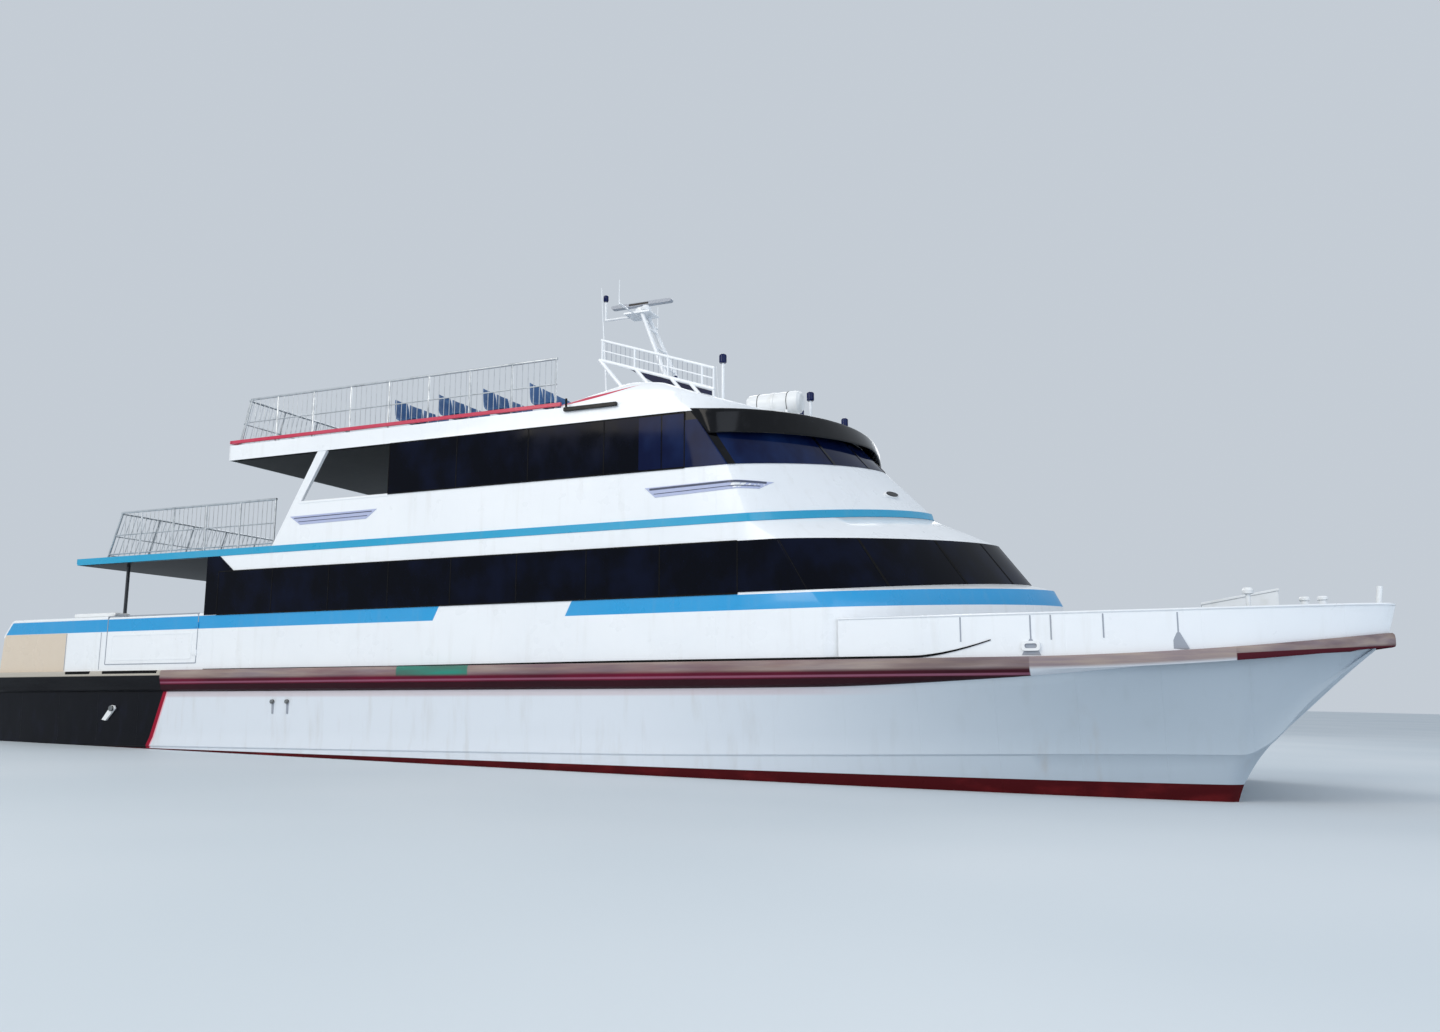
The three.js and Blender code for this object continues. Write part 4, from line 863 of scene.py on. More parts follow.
def build_fronts():
    """Rounded fronts of the main cabin and the wheelhouse, with their glass."""
    shape = front(["foot", "band_low", "band", "sill"], ["head", mix_levels("head", "eave", 0.5), "eave"],
                  SIDE_END + 0.0003, blue=1)
    make("house_front_skin", shape, ["white", "blue"], replaces=["house_front"])
    middle = mix_levels("sill", "head", 0.5)
    glass = Shape().add(nose_wall(["sill", middle, "head"], PANE, LAID, SIDE_END + 0.0003))
    make("glass_main_front_pane", glass, ["glass"], replaces=["glass_main_front"])
    joints = joints_of(["sill", middle, "head"], (-87, -58, -36, -18, 0, 18, 36, 58, 87), 0.35, PANE + 0.004)
    make("glass_main_front_joints", joints, ["rubber"])
    shape = front(["upper_foot", "upper_sill"], [UNDER_BROW, "upper_head"], UPPER_SIDE_END + 0.0003, over_windows=1)
    make("upper_front_skin", shape, ["white", "black"], replaces=["upper_front"])
    middle = mix_levels("upper_sill", UNDER_BROW, 0.5)
    glass = Shape().add(nose_wall(["upper_sill", middle, UNDER_BROW], PANE, LAID, UPPER_SIDE_END + 0.0003))
    make("glass_upper_front_pane", glass, ["screen"], replaces=["glass_upper_front"])
    posts = joints_of(["upper_sill", middle, UNDER_BROW], (-36, -18, 0, 18, 36), 0.5, PANE + 0.01)
    for side in (-1, 1):
        posts.add(nose_wall(["upper_sill", middle, UNDER_BROW], PANE + 0.01, 0.004, None,
                            sorted((side * 87, side * 80)), 6))
    make("wheelhouse_pillars", posts, ["black"])
    panes = Shape()
    for aft, fore in ((2.3, 2.74), (2.77, UPPER_SIDE_END - 0.01)):
        outline = rounded(aft, fore, UPPER_SILL + 0.02, UPPER_SILL + 0.98, 0.02)
        panes.add(slab(outline, 1, -HALF - PANE - 0.004, -HALF - PANE + 0.002))
    make_pair("wheelhouse_side_panes", panes, ["screen"])


def build_visor():
    """Black brow over the wheelhouse windows: at each angle a section with round corners between its
    root on the deck's edge, its lower lip and its upper one."""
    angles = np.radians(np.linspace(-89.5, 89.5, 121))
    root = nose_line("top_low", angles, LAID)
    corners = np.stack([root, nose_line("brow_low", angles, 0.038), nose_line("brow_high", angles, 0.038),
                        root + (0, 0, 0.05)], axis=1)
    before, after = np.roll(corners, 1, axis=1), np.roll(corners, -1, axis=1)
    share = 0.16
    start = corners + (before - corners) * share
    end = corners + (after - corners) * share
    round_off = [(1 - t) ** 2 * start + 2 * t * (1 - t) * corners + t ** 2 * end for t in (0, 0.25, 0.5, 0.75, 1)]
    rings = np.stack(round_off, axis=2).reshape(len(angles), -1, 3)
    make("visor_shell", Shape().add(skin(rings)), ["black"], replaces=["visor"])


# Raised roof over the wheelhouse. Columns: x, height above the top deck.
ROOF = np.array([[ROOF_START, 0.13], [1.4, 0.3], [2.05, 0.42], [2.6, 0.36], [2.9, 0.25], [3.3, 0.13], [3.9, 0.05],
                 [4.6, 0.02]])


def roof_base(x):
    z, start, tip, rise, power = LEVELS["top_high"]
    return z + rise * np.clip((x - start) / (tip - start), 0, 1) ** (2 / power)


def roof_top(x):
    return roof_base(x) + smooth_curve(ROOF[:, 0], ROOF[:, 1], x)


def build_roof():
    """Roof section: a low side, a round shoulder that is a quarter of an ellipse, and a crowned top."""
    x = np.concatenate([np.linspace(ROOF_START, 3.3, 30), np.linspace(3.4, 4.7, 20)])
    half = level_half("top_high", x) - 0.03
    height = smooth_curve(ROOF[:, 0], ROOF[:, 1], np.minimum(x, 4.6))[:, None]
    shoulder = np.minimum(0.34, half * 0.45)[:, None]
    turn = np.linspace(0, math.pi / 2, 9)[None]
    y = np.hstack([-half[:, None], -half[:, None] + 0.01 + shoulder * (1 - np.cos(turn)), -half[:, None] * 0.4])
    z = np.hstack([0 * height, height * (0.25 + 0.75 * np.sin(turn)), height + 0.02])
    z = z + roof_base(x)[:, None] + LAID
    station = np.broadcast_to(x[:, None], y.shape)
    side = np.stack([station, y, z], axis=-1)
    shape = Shape().add(skin(np.concatenate([side, side[:, ::-1] * (1, -1, 1)], axis=1)))
    make("roof_shell", shape, ["roof"], replaces=["roof"])


def edge_moulding(low, high, start, lift):
    """Moulding on a deck's edge: along both sides and round the nose, a little over the plate."""
    tall = (level_of(high)[0] + lift, *level_of(high)[1:])
    return nose_wall([low, tall], PANE, -0.09, start)


def build_deck_edges():
    """Blue moulding on the edge of the upper deck, white fascia on that of the top deck with the red
    coaming on it, and the dark corner over the aft end of the main windows."""
    blue = Shape().add(edge_moulding("deck_low", "deck_high", UPPER_AFT - PANE, 0.004))
    blue.add(block(UPPER_AFT - 0.03, UPPER_AFT - LAID, -HALF - PANE, HALF + PANE, EAVE + 0.03, UPPER_DECK + 0.004))
    make("upper_deck_edge", blue, ["edge"], bevel=0.004)
    white = Shape().add(edge_moulding("top_low", "top_high", TOP_AFT - PANE, 0.004))
    white.add(block(TOP_AFT - 0.03, TOP_AFT - LAID, -HALF - PANE, HALF + PANE, TOP_UNDER, TOP_DECK + 0.004))
    make("top_deck_edge", white, ["white"], bevel=0.004)
    red = Shape().add(block(TOP_AFT, ROOF_START + 0.02, -HALF - 0.02, -HALF + 0.03, TOP_DECK + 0.04, TOP_DECK + 0.11),
                      both=True)
    red.add(block(TOP_AFT - 0.03, TOP_AFT + 0.02, -HALF - 0.02, HALF + 0.02, TOP_DECK + 0.04, TOP_DECK + 0.11))
    make("top_deck_coaming", red, ["red"], bevel=0.006)
    quarter = [(HOUSE_AFT + 0.005, MAIN_SILL), (HOUSE_AFT + 0.005, EAVE - 0.003), (-7.54, EAVE - 0.003),
               (-7.13, MAIN_HEAD + LAID), (-7.545, MAIN_HEAD + LAID), (-7.545, MAIN_SILL)]
    make_pair("aft_quarter_panel", Shape().add(plate(quarter, -HALF - PANE, -HALF - LAID)), ["glass"])


def bulwark_lean(x):
    """How far the top of the bow bulwark leans out: it grows evenly from x = 11 to the tip."""
    return 0.18 * np.maximum(0.0, (x - 11.0) / (BOW_TIP - 11.0))


# Vertical seams of the bow bulwark that show, and those with a triangular foot
SEAMS = (7.94, 9.0, 9.3, 10.05, 11.08)
FOOTED = (9.0, 11.08)


def build_bow_bulwarks():
    """Bulwarks round the bows with a cap rail and seams, the low one between them, and a black strip of painted shadow
    along the deck's edge.
    """
    path = edge_path(5.96, 12.96)
    x = path[:, :1]
    lean = bulwark_lean(x)
    low, high = DECK + sheer(x) + LAID, BULWARK_TOP + 0.2 * sheer(x)
    thick = np.minimum(0.05, np.maximum(0.004, HALF - level_half("band_low", x) - 0.004))
    out = np.hstack([lean * 0.2, lean * 0.55, lean, lean - thick, lean * 0.55 - thick, lean * 0.2 - thick])
    height = np.hstack([low, (low + high) / 2, high - 0.02, high - 0.02, (low + high) / 2, low])
    shape = Shape().add(carried(path, out, height))
    turn = np.linspace(0, 2 * math.pi, 12, endpoint=False)[None]
    width = np.minimum(0.045, thick * 0.9)
    shape.add(carried(path, lean - thick / 2 + width * np.cos(turn), high - 0.022 + 0.022 * np.sin(turn)))
    make_pair("bow_bulwark_plate", shape, ["white"], replaces=["bow_bulwark"])
    seams = Shape()
    for place in SEAMS:
        y = -HULL_CENTRE - float(deck_half(place)) - 0.2 * float(bulwark_lean(place))
        foot, top = DECK + float(sheer(place)), BULWARK_TOP - 0.05
        seams.add(block(place - 0.011, place + 0.011, y - 0.006, y + 0.01, foot + 0.24, top))
        if place in FOOTED:
            outline = [(place - 0.14, foot + 0.02), (place + 0.14, foot + 0.02), (place + 0.02, foot + 0.26),
                       (place - 0.02, foot + 0.26)]
            seams.add(plate(outline, y - 0.012, y + 0.01))
    make_pair("bow_bulwark_seams", seams, ["grey"], bevel=0.003)
    chock = Shape()
    y = -HULL_CENTRE - float(deck_half(9.0))
    outer, inner = rounded(8.86, 9.14, 1.98, 2.13, 0.05), rounded(8.91, 9.09, 2.02, 2.09, 0.03)
    chock.add(framed(outer, inner, 1, y - 0.05, y + 0.01)).add(slab(inner, 1, y - 0.02, y + 0.012), 1)
    make_pair("mooring_chock", chock, ["shell", "grey"], bevel=0.006)
    # Thin black strip along the deck's edge from the house's aft end to the bow bulwark: painted shadow, the shadow
    # line between the rub rail's top and the house side.
    shadow_line_x = np.linspace(-7.8, 8.4, 90)
    edge = 1.903 + 0.25 * np.clip((shadow_line_x - 7.2) / 1.2, 0, 1) ** 1.6
    tall = 0.012 + 0.024 * np.clip((shadow_line_x + 3.0) / 5.0, 0, 1) * np.clip((8.6 - shadow_line_x) / 1.2, 0, 1)
    side = -HULL_CENTRE - deck_half(shadow_line_x) - 0.002
    corners = [(0.0, 0.0), (-0.012, 0.0), (-0.012, 1.0), (0.0, 1.0)]
    rings = np.stack([np.column_stack([shadow_line_x, side + dy, edge + up * tall]) for dy, up in corners], axis=1)
    make_pair("painted_shadow_line", Shape().add(skin(rings)), ["rubber"])
    low = Shape()
    base = DECK + float(sheer(FORE_EDGE)) + LAID
    low.add(block(FORE_EDGE - 0.07, FORE_EDGE - 0.02, -BRIDGE_HALF - 0.03, BRIDGE_HALF + 0.03, base, 2.605))
    low.add(tube([(FORE_EDGE - 0.045, -BRIDGE_HALF - 0.03, 2.605), (FORE_EDGE - 0.045, BRIDGE_HALF + 0.03, 2.605)],
                 0.025, 12))
    for y in np.linspace(-1.5, 1.5, 5):
        low.add(plate([(FORE_EDGE - 0.3, base), (FORE_EDGE - 0.07, base), (FORE_EDGE - 0.07, 2.5)], y - 0.005, y + 0.005))
    make("fore_bulwark_plate", low, ["white"], replaces=["fore_bulwark"])


def build_stern_bulwarks():
    """Cap rails, the seals round the gate, the hung locker and the seams of the stern bulwarks."""
    cap = Shape()
    top = [(-14.0, 2.69), (-13.975, 2.74), (-13.77, 3.02), (-13.72, STERN_TOP + 0.01), (-10.7, STERN_TOP + 0.01)]
    cap.add(tube([(x, -HALF + 0.045, z) for x, z in top], 0.05, 12))
    cap.add(tube([(-8.02, -HALF + 0.045, STERN_TOP + 0.01), (HOUSE_AFT, -HALF + 0.045, STERN_TOP + 0.01)], 0.05, 12))
    for x in np.arange(-13.4, -10.8, 0.62):
        cap.add(plate([(x - 0.004, 1.905), (x + 0.004, 1.905), (x + 0.004, 2.98), (x - 0.004, 2.98)], -HALF + 0.09,
                      -HALF + 0.17))
    make_pair("stern_cap_rail", cap, ["white"])
    seal = Shape()
    outer, inner = rounded(-10.7, -8.02, 2.03, STERN_TOP + 0.06, 0.03), rounded(-10.682, -8.038, 2.05, STERN_TOP + 0.045, 0.02)
    seal.add(framed(outer, inner, 1, -HALF - 0.005, -HALF + 0.03))
    for x in (-11.95, -10.87):
        seal.add(block(x - 0.008, x + 0.008, -HALF - 0.004, -HALF + 0.01, 1.93, 2.74))
    make_pair("gate_seal", seal, ["grey"])
    box = Shape()
    box.add(slab(rounded(-11.86, -10.62, 2.56, 3.12, 0.07), 1, -HALF + 0.095, -HALF + 0.45))
    box.add(slab(rounded(-11.88, -10.6, 3.09, 3.18, 0.04), 1, -HALF + 0.08, -HALF + 0.47))
    make_pair("stern_hung_locker", box, ["shell"], bevel=0.02)
    gate = Shape()
    gate.add(tube([(-10.66, -HALF + 0.03, STERN_TOP + 0.005), (-8.06, -HALF + 0.03, STERN_TOP + 0.005)], 0.035, 12))
    outer, inner = rounded(-10.55, -8.17, 2.12, 2.68, 0.06), rounded(-10.52, -8.2, 2.15, 2.65, 0.05)
    gate.add(framed(outer, inner, 1, -HALF - 0.006, -HALF + 0.005))
    gate.add(block(-10.64, -10.5, -HALF + 0.06, -HALF + 0.1, 2.5, 2.62), 1)
    gate.add(tube([(-10.6, -HALF + 0.1, 2.56), (-10.42, -HALF + 0.1, 2.56)], 0.012, 8), 1)
    make_pair("gate_trim", gate, ["white", "alloy"], "gate")
    aft = Shape()
    aft.add(tube([(-13.905, -4.05, 2.7), (-13.905, 4.05, 2.7)], 0.05, 12))
    for y in np.linspace(-3.6, 3.6, 9):
        aft.add(plate([(-13.86, 1.905), (-13.7, 1.905), (-13.86, 2.6)], y - 0.005, y + 0.005))
    make("transom_cap_rail", aft, ["white"])


def build_outlet():
    """Cooling water outlet in the black stern area, a slanted fairing with a pale rim, and deck drains."""
    y = -HULL_CENTRE - 1.245
    slope = [(-10.62, 0.86), (-10.5, 0.84), (-10.24, 1.1), (-10.27, 1.16), (-10.36, 1.17)]
    shape = Shape().add(plate(slope, y - 0.03, y + 0.02))
    shape.add(turned([(0.045, 0.0), (0.06, 0.0), (0.06, 0.07), (0.045, 0.07)], (-10.33, y - 0.075, 1.1), 1, 24), 1)
    for place in (-5.87, -5.49):
        drain = [(0.02, 0.0), (0.04, 0.0), (0.045, 0.05), (0.03, 0.05)]
        shape.add(turned(drain, (place, y - 0.05, 1.24), 1, 16), 1)
        shape.add(plate([(place - 0.022, 1.0), (place + 0.022, 1.0), (place + 0.03, 1.22), (place - 0.03, 1.22)],
                        -HULL_CENTRE - 1.2475, -HULL_CENTRE - 1.2), 2)
    make_pair("hull_side_outlets", shape, ["shell", "steel", "grey"], bevel=0.006)


def railing(shape, start, end, base, height, pitch, lean, alone):
    """Straight run of railing with a top pipe, two wires, posts about a pitch apart on foot plates
    and thin bars between them. Its posts lean forward at the top. Where alone is true, only the first
    one does, and the bars stand upright."""
    start, end = np.array(start, float), np.array(end, float)
    pipe = 0.024

    def at(share, up, leaning=1.0):
        x, y = start + (end - start) * share
        return (x + lean * up * leaning, y, base + (height - pipe) * up)

    length = float(np.linalg.norm(end - start))
    posts = np.linspace(0.004, 0.996, max(2, round(length / pitch)) + 1)
    for i, share in enumerate(posts):
        leaning = 0.0 if alone and i else 1.0
        shape.add(tube([at(share, 0.012, leaning), at(share, 1, leaning)], 0.02, 8))
        x, y, _ = at(share, 0)
        shape.add(block(x - 0.05, x + 0.05, y - 0.05, y + 0.05, base, base + 0.012))
    first = lean / length if alone else 0.0
    bars = np.linspace(first, 1.0, int(length / 0.13))[1:-1]
    upright = 0.0 if alone else 1.0
    low, high = np.array(at(0, 0.08, upright)), np.array(at(0, 1, upright))
    shifts = np.column_stack([np.outer(bars, end - start), np.zeros(len(bars))])
    shape.add(copies(tube([low, high], 0.0065, 6), shifts))
    shape.add(tube([at(0, 1), at(1, 1, 0.0 if alone else 1.0)], pipe, 12))
    for up in (0.08, 0.5):
        shape.add(tube([at(0, up), at(1, up, 0.0 if alone else 1.0)], 0.013, 8))


# How far the aft rails lean forward at the top
RAKE = {"upper": 0.36, "top": 0.25}


def build_rails():
    # Columns: name, start, end, height of the deck, height of the rail, lean, both sides
    runs = [
        ("rail_top", (TOP_AFT + 0.15, -4.12), (ROOF_START - 0.12, -4.12), TOP_DECK, 1.02, RAKE["top"], True),
        ("rail_top_aft", (TOP_AFT + 0.04, -4.06), (TOP_AFT + 0.04, 4.06), TOP_DECK, 1.02, RAKE["top"], False),
        ("rail_upper", (-11.05, -4.08), (-6.21, -4.08), UPPER_DECK, 1.03, RAKE["upper"], True),
        ("rail_upper_aft", (-11.16, -4.0), (-11.16, 4.0), UPPER_DECK, 1.03, RAKE["upper"], False),
    ]
    for name, start, end, base, height, lean, both in runs:
        shape = Shape()
        railing(shape, start, end, base, height, 1.0, lean, both)
        if both:
            make_pair(name + "_pipes", shape, ["alloy"], replaces=[name])
        else:
            make(name + "_pipes", shape, ["alloy"], replaces=[name])


def upper_wall(x, z, out):
    """Points on the outer wall of the upper house below its windows, moved out. The wall lies between
    its foot and its sill. Both rise forward on the nose, so how high up the wall a point is and how far
    round the nose are found in turns."""
    foot, sill = LEVELS["upper_foot"], LEVELS["upper_sill"]
    ahead = 0 * x
    for _ in range(8):
        low, high = foot[0] + foot[3] * ahead ** 2, sill[0] + sill[3] * ahead ** 2
        share = (z - low) / (high - low)
        start, tip = (foot[i] * (1 - share) + sill[i] * share for i in (1, 2))
        ahead = np.clip((x - start) / (tip - start), 0, 1) ** (1 / foot[4])
    return np.stack([x, -HALF * (1 - ahead ** 2) ** (foot[4] / 2) - out, z], axis=-1)


def wall_strip(corners, out, steps=24):
    """Thin sheet on the upper wall between four corners (x, z): aft low, fore low, fore high, aft high."""
    aft_low, fore_low, fore_high, aft_high = np.array(corners, float)
    share = np.linspace(0, 1, steps)[:, None]
    low, high = aft_low + (fore_low - aft_low) * share, aft_high + (fore_high - aft_high) * share
    rings = [upper_wall(line[:, 0], line[:, 1], depth) for line, depth in
             ((low, -0.02), (low, out), (high, out), (high, -0.02))]
    return skin(np.stack(rings, axis=1))


def build_upper_trim():
    """Louvred slots with slanted ends, whose dark slots are painted shade, the black bar at the side, the cap of the
    open bulwark and the small vent on the wheelhouse front."""
    louvres = Shape()
    # Columns: x and z of the corners aft low, fore low, fore high, aft high; height of the dark slot, a strip of
    # painted shade
    slots = [([(-5.43, 4.8), (-3.75, 4.82), (-3.5, 5.0), (-5.7, 4.98)], 0.014),
             ([(2.63, 4.79), (4.5, 4.86), (4.66, 5.01), (2.43, 4.97)], 0.034)]
    for corners, height in slots:
        louvres.add(wall_strip(corners, 0.012))
        (x0, z0), (x1, z1), (x2, z2), (x3, z3) = corners
        # Dark slate strips over the slots: painted shade inside them.
        for share in (0.3, 0.72):
            low = [(x0 + (x3 - x0) * share + 0.04, z0 + (z3 - z0) * share),
                   (x1 + (x2 - x1) * share - 0.04, z1 + (z2 - z1) * share)]
            thick = height if share > 0.5 else 0.01
            strip = [low[0], low[1], (low[1][0], low[1][1] + thick), (low[0][0], low[0][1] + thick)]
            louvres.add(wall_strip(strip, 0.02), 1)
    make_pair("side_louvres", louvres, ["lilac", "slate"], bevel=0.002)
    bar = Shape().add(slab(rounded(0.75, 1.86, 6.53, 6.61, 0.02), 1, -HALF - 0.07, -HALF - 0.013))
    bar.add(tube([(0.8, -HALF - 0.045, 6.6), (0.8, -HALF - 0.045, 6.78)], 0.022, 10))
    make_pair("side_boarding_light", bar, ["black"], bevel=0.01)
    cap = Shape().add(tube([(-5.5, -HALF + 0.035, 5.255), (UPPER_CABIN_AFT, -HALF + 0.035, 5.255)], 0.045, 12))
    make_pair("upper_bulwark_cap", cap, ["white"])
    vent = Shape()
    angle = math.radians(-22)
    foot, sill = nose_line("upper_foot", np.array([angle])), nose_line("upper_sill", np.array([angle]))
    ahead = (sill - foot)[0]
    across = nose_line("upper_foot", np.array([angle + 0.05]))[0] - foot[0]
    across /= np.linalg.norm(across)
    ahead /= np.linalg.norm(ahead)
    out = np.cross(across, ahead)
    out *= 1 if out[0] > 0 else -1
    turn = np.linspace(0, 2 * math.pi, 28, endpoint=False)[:, None]
    centre = foot[0] + (sill - foot)[0] * 0.35
    oval = 0.24 * np.cos(turn) * across + 0.085 * np.sin(turn) * ahead
    rings = [centre + oval * scale + out * depth for scale, depth in ((1, -0.02), (1, 0.02), (0.86, 0.035), (0.8, 0.012))]
    vent.add(skin(rings[:3], ends="cap"), 0).add(skin([centre + oval * 0.78 + out * d for d in (0.03, 0.05)]), 1)
    make_pair("wheelhouse_vent", vent, ["shell", "black"])


def build_windows():
    """Seals round the long panes of both sides, and the joints between the panes."""
    seals = Shape()
    # Columns: aft and fore end, lowest and highest, number of panes
    for aft, fore, low, high, panes in ((-7.54, SIDE_END, MAIN_SILL, MAIN_HEAD, 8),
                                        (UPPER_CABIN_AFT, UPPER_SIDE_END, UPPER_SILL, 6.29, 4)):
        near, far = -HALF - PANE - 0.004, -HALF - PANE + 0.002
        for z in (low, high):
            seals.add(block(aft, fore, near, far, z - 0.012, z + 0.012))
        pitch = (fore - aft) / panes
        joint = block(aft - 0.009, aft + 0.009, near, far, low, high)
        seals.add(copies(joint, np.arange(panes + 1)[:, None] * (pitch, 0, 0)))
    make_pair("window_seals", seals, ["rubber"])


def door_leaf(x, y0, y1, z0, z1, handle):
    """Framed door with a round-cornered pane, a lower panel with a pressed field, lever and hinges."""
    shape = Shape()
    aft, fore = x + 0.01, x + 0.06
    outer = rounded(y0, y1, z0, z1, 0.04)
    width = abs(y1 - y0)
    sill = z0 + 0.95
    inner = rounded(y0 + 0.13, y1 - 0.13, sill, z1 - 0.16, 0.07)
    shape.add(framed(outer, inner, 0, aft, fore))
    shape.add(slab(rounded(y0 + 0.125, y1 - 0.125, sill - 0.005, z1 - 0.155, 0.07), 0, aft + 0.02, fore - 0.02), 1)
    seal = rounded(y0 + 0.145, y1 - 0.145, sill + 0.015, z1 - 0.175, 0.06)
    shape.add(framed(inner, seal, 0, aft + 0.008, aft + 0.02), 2)
    field = rounded(y0 + 0.13, y1 - 0.13, z0 + 0.14, sill - 0.14, 0.05)
    shape.add(framed(field, rounded(y0 + 0.15, y1 - 0.15, z0 + 0.16, sill - 0.16, 0.04), 0, aft - 0.004, aft + 0.01))
    middle = (z0 + z1) / 2
    grip = y1 - 0.095 if handle > 0 else y0 + 0.095
    shape.add(tube([(aft + 0.005, grip, middle - 0.11), (x - 0.038, grip, middle - 0.1), (x - 0.038, grip, middle + 0.1),
                    (aft + 0.005, grip, middle + 0.11)], 0.011, 10))
    hang = y0 - 0.01 if handle > 0 else y1 + 0.01
    for z in (z0 + 0.25, z1 - 0.25):
        shape.add(tube([(x - 0.0123, hang, z - 0.06), (x - 0.0123, hang, z + 0.06)], 0.012, 14))
        strap = sorted((hang + 0.004 * handle, hang + min(0.09, width / 4) * handle))
        shape.add(block(x - 0.006, x + 0.015, *strap, z - 0.04, z + 0.04))
    return shape


def build_doors():
    leaf = door_leaf(HOUSE_AFT, -0.892, -0.008, DECK + 0.012, DECK + 1.97, 1)
    make_pair("door_main_leaf", leaf, ["alloy", "glass", "rubber"], "door_main", ["door_main"], 0.003)
    leaf = door_leaf(UPPER_CABIN_AFT, -0.422, 0.418, UPPER_DECK + 0.012, UPPER_DECK + 1.74, 1)
    make("door_upper_leaf", leaf, ["alloy", "glass", "rubber"], "door_upper", ["door_upper"], 0.003)
    trims = Shape()
    for x, half, low, high in ((HOUSE_AFT, 0.9, DECK, DECK + 1.98), (UPPER_CABIN_AFT, 0.43, UPPER_DECK, UPPER_DECK + 1.75)):
        outer = rounded(-half - 0.07, half + 0.07, low + 0.002, high + 0.07, 0.05)
        inner = rounded(-half - 0.004, half + 0.004, low + 0.008, high + 0.004, 0.03)
        trims.add(framed(outer, inner, 0, x - 0.006, x - LAID))
    make("door_frames", trims, ["alloy"], bevel=0.002)
    panes = Shape()
    for side in (-1, 1):
        for inner_y in (1.35, 2.65):
            y0, y1 = sorted((side * inner_y, side * (inner_y + 1.0)))
            panes.add(slab(rounded(y0, y1, 2.95, 3.75, 0.12), 0, HOUSE_AFT - 0.012, HOUSE_AFT - LAID))
            panes.add(framed(rounded(y0 - 0.03, y1 + 0.03, 2.92, 3.78, 0.14), rounded(y0, y1, 2.95, 3.75, 0.12), 0,
                             HOUSE_AFT - 0.016, HOUSE_AFT - LAID), 1)
        y0, y1 = sorted((side * 0.9, side * 3.6))
        panes.add(slab(rounded(y0, y1, 5.35, 6.1, 0.12), 0, UPPER_CABIN_AFT - 0.012, UPPER_CABIN_AFT - LAID))
        panes.add(framed(rounded(y0 - 0.03, y1 + 0.03, 5.32, 6.13, 0.14), rounded(y0, y1, 5.35, 6.1, 0.12), 0,
                         UPPER_CABIN_AFT - 0.016, UPPER_CABIN_AFT - LAID), 1)
    make("bulkhead_panes", panes, ["glass", "rubber"])


def stair(foot, head, y0, y1, low, high, steps):
    """Stairs with channel stringers, ribbed treads and a hand rail on each side."""
    shape = Shape()
    run, climb = (head - foot) / steps, (high - low) / steps
    outline = [(foot, low + LAID), (foot, low + 0.16), (head - 0.03, high - 0.03), (head - 0.03, high - 0.26),
               (foot + 0.26, low + LAID)]
    shape.add(plate(outline, y0, y0 + 0.012)).add(plate(outline, y1 - 0.012, y1))
    tread = block(foot + run * 0.5 - 0.02, foot + run * 1.5 - 0.02, y0 + 0.012, y1 - 0.012, low + climb - 0.055,
                  low + climb - 0.03)
    climbs = np.arange(steps - 1)[:, None] * (run, 0, climb)
    shape.add(copies(tread, climbs))
    rib = block(foot + run * 0.5 - 0.02, foot + run * 0.5 + 0.01, y0 + 0.02, y1 - 0.02, low + climb - 0.03,
                low + climb - 0.024)
    shape.add(copies(copies(rib, np.arange(3)[:, None] * (0.06, 0, 0)), climbs), 1)
    for y in (y0 + 0.03, y1 - 0.03):
        path = [(foot + 0.1, y, low + 0.2), (foot + 0.1, y, low + 1.0), (foot + 0.3, y, low + 1.15),
                (head - 0.55, y, high + 0.25)]
        shape.add(tube(path, 0.018, 10))
    return shape


def build_stairs():
    shape = stair(-11.0, -8.9, 2.3, 3.2, DECK, UPPER_DECK, 11)
    make("stair_main_steps", shape, ["alloy", "rubber"], replaces=["stair_main"])
    shape = stair(-5.9, -4.3, 1.9, 2.7, UPPER_DECK, TOP_DECK, 10)
    make("stair_upper_steps", shape, ["alloy", "rubber"], replaces=["stair_upper"])
    wells = Shape()
    # Columns: aft and fore end of the opening, its sides, the deck
    for aft, fore, y0, y1, deck in ((-10.65, -8.87, 2.24, 3.26, UPPER_DECK), (-5.7, -4.27, 1.84, 2.76, TOP_DECK)):
        for y in (y0 - 0.03, y1 + 0.03):
            posts = np.linspace(aft, fore - 0.1, 3)
            for x in posts:
                wells.add(tube([(x, y, deck + 0.004), (x, y, deck + 0.95)], 0.018, 8))
            for z in (0.5, 0.95):
                wells.add(tube([(aft, y, deck + z), (fore - 0.1, y, deck + z)], 0.018, 10))
        for z in (0.5, 0.95):
            wells.add(tube([(aft, y0 - 0.03, deck + z), (aft, y1 + 0.03, deck + z)], 0.018, 10))
    make("stair_well_rails", wells, ["alloy"])


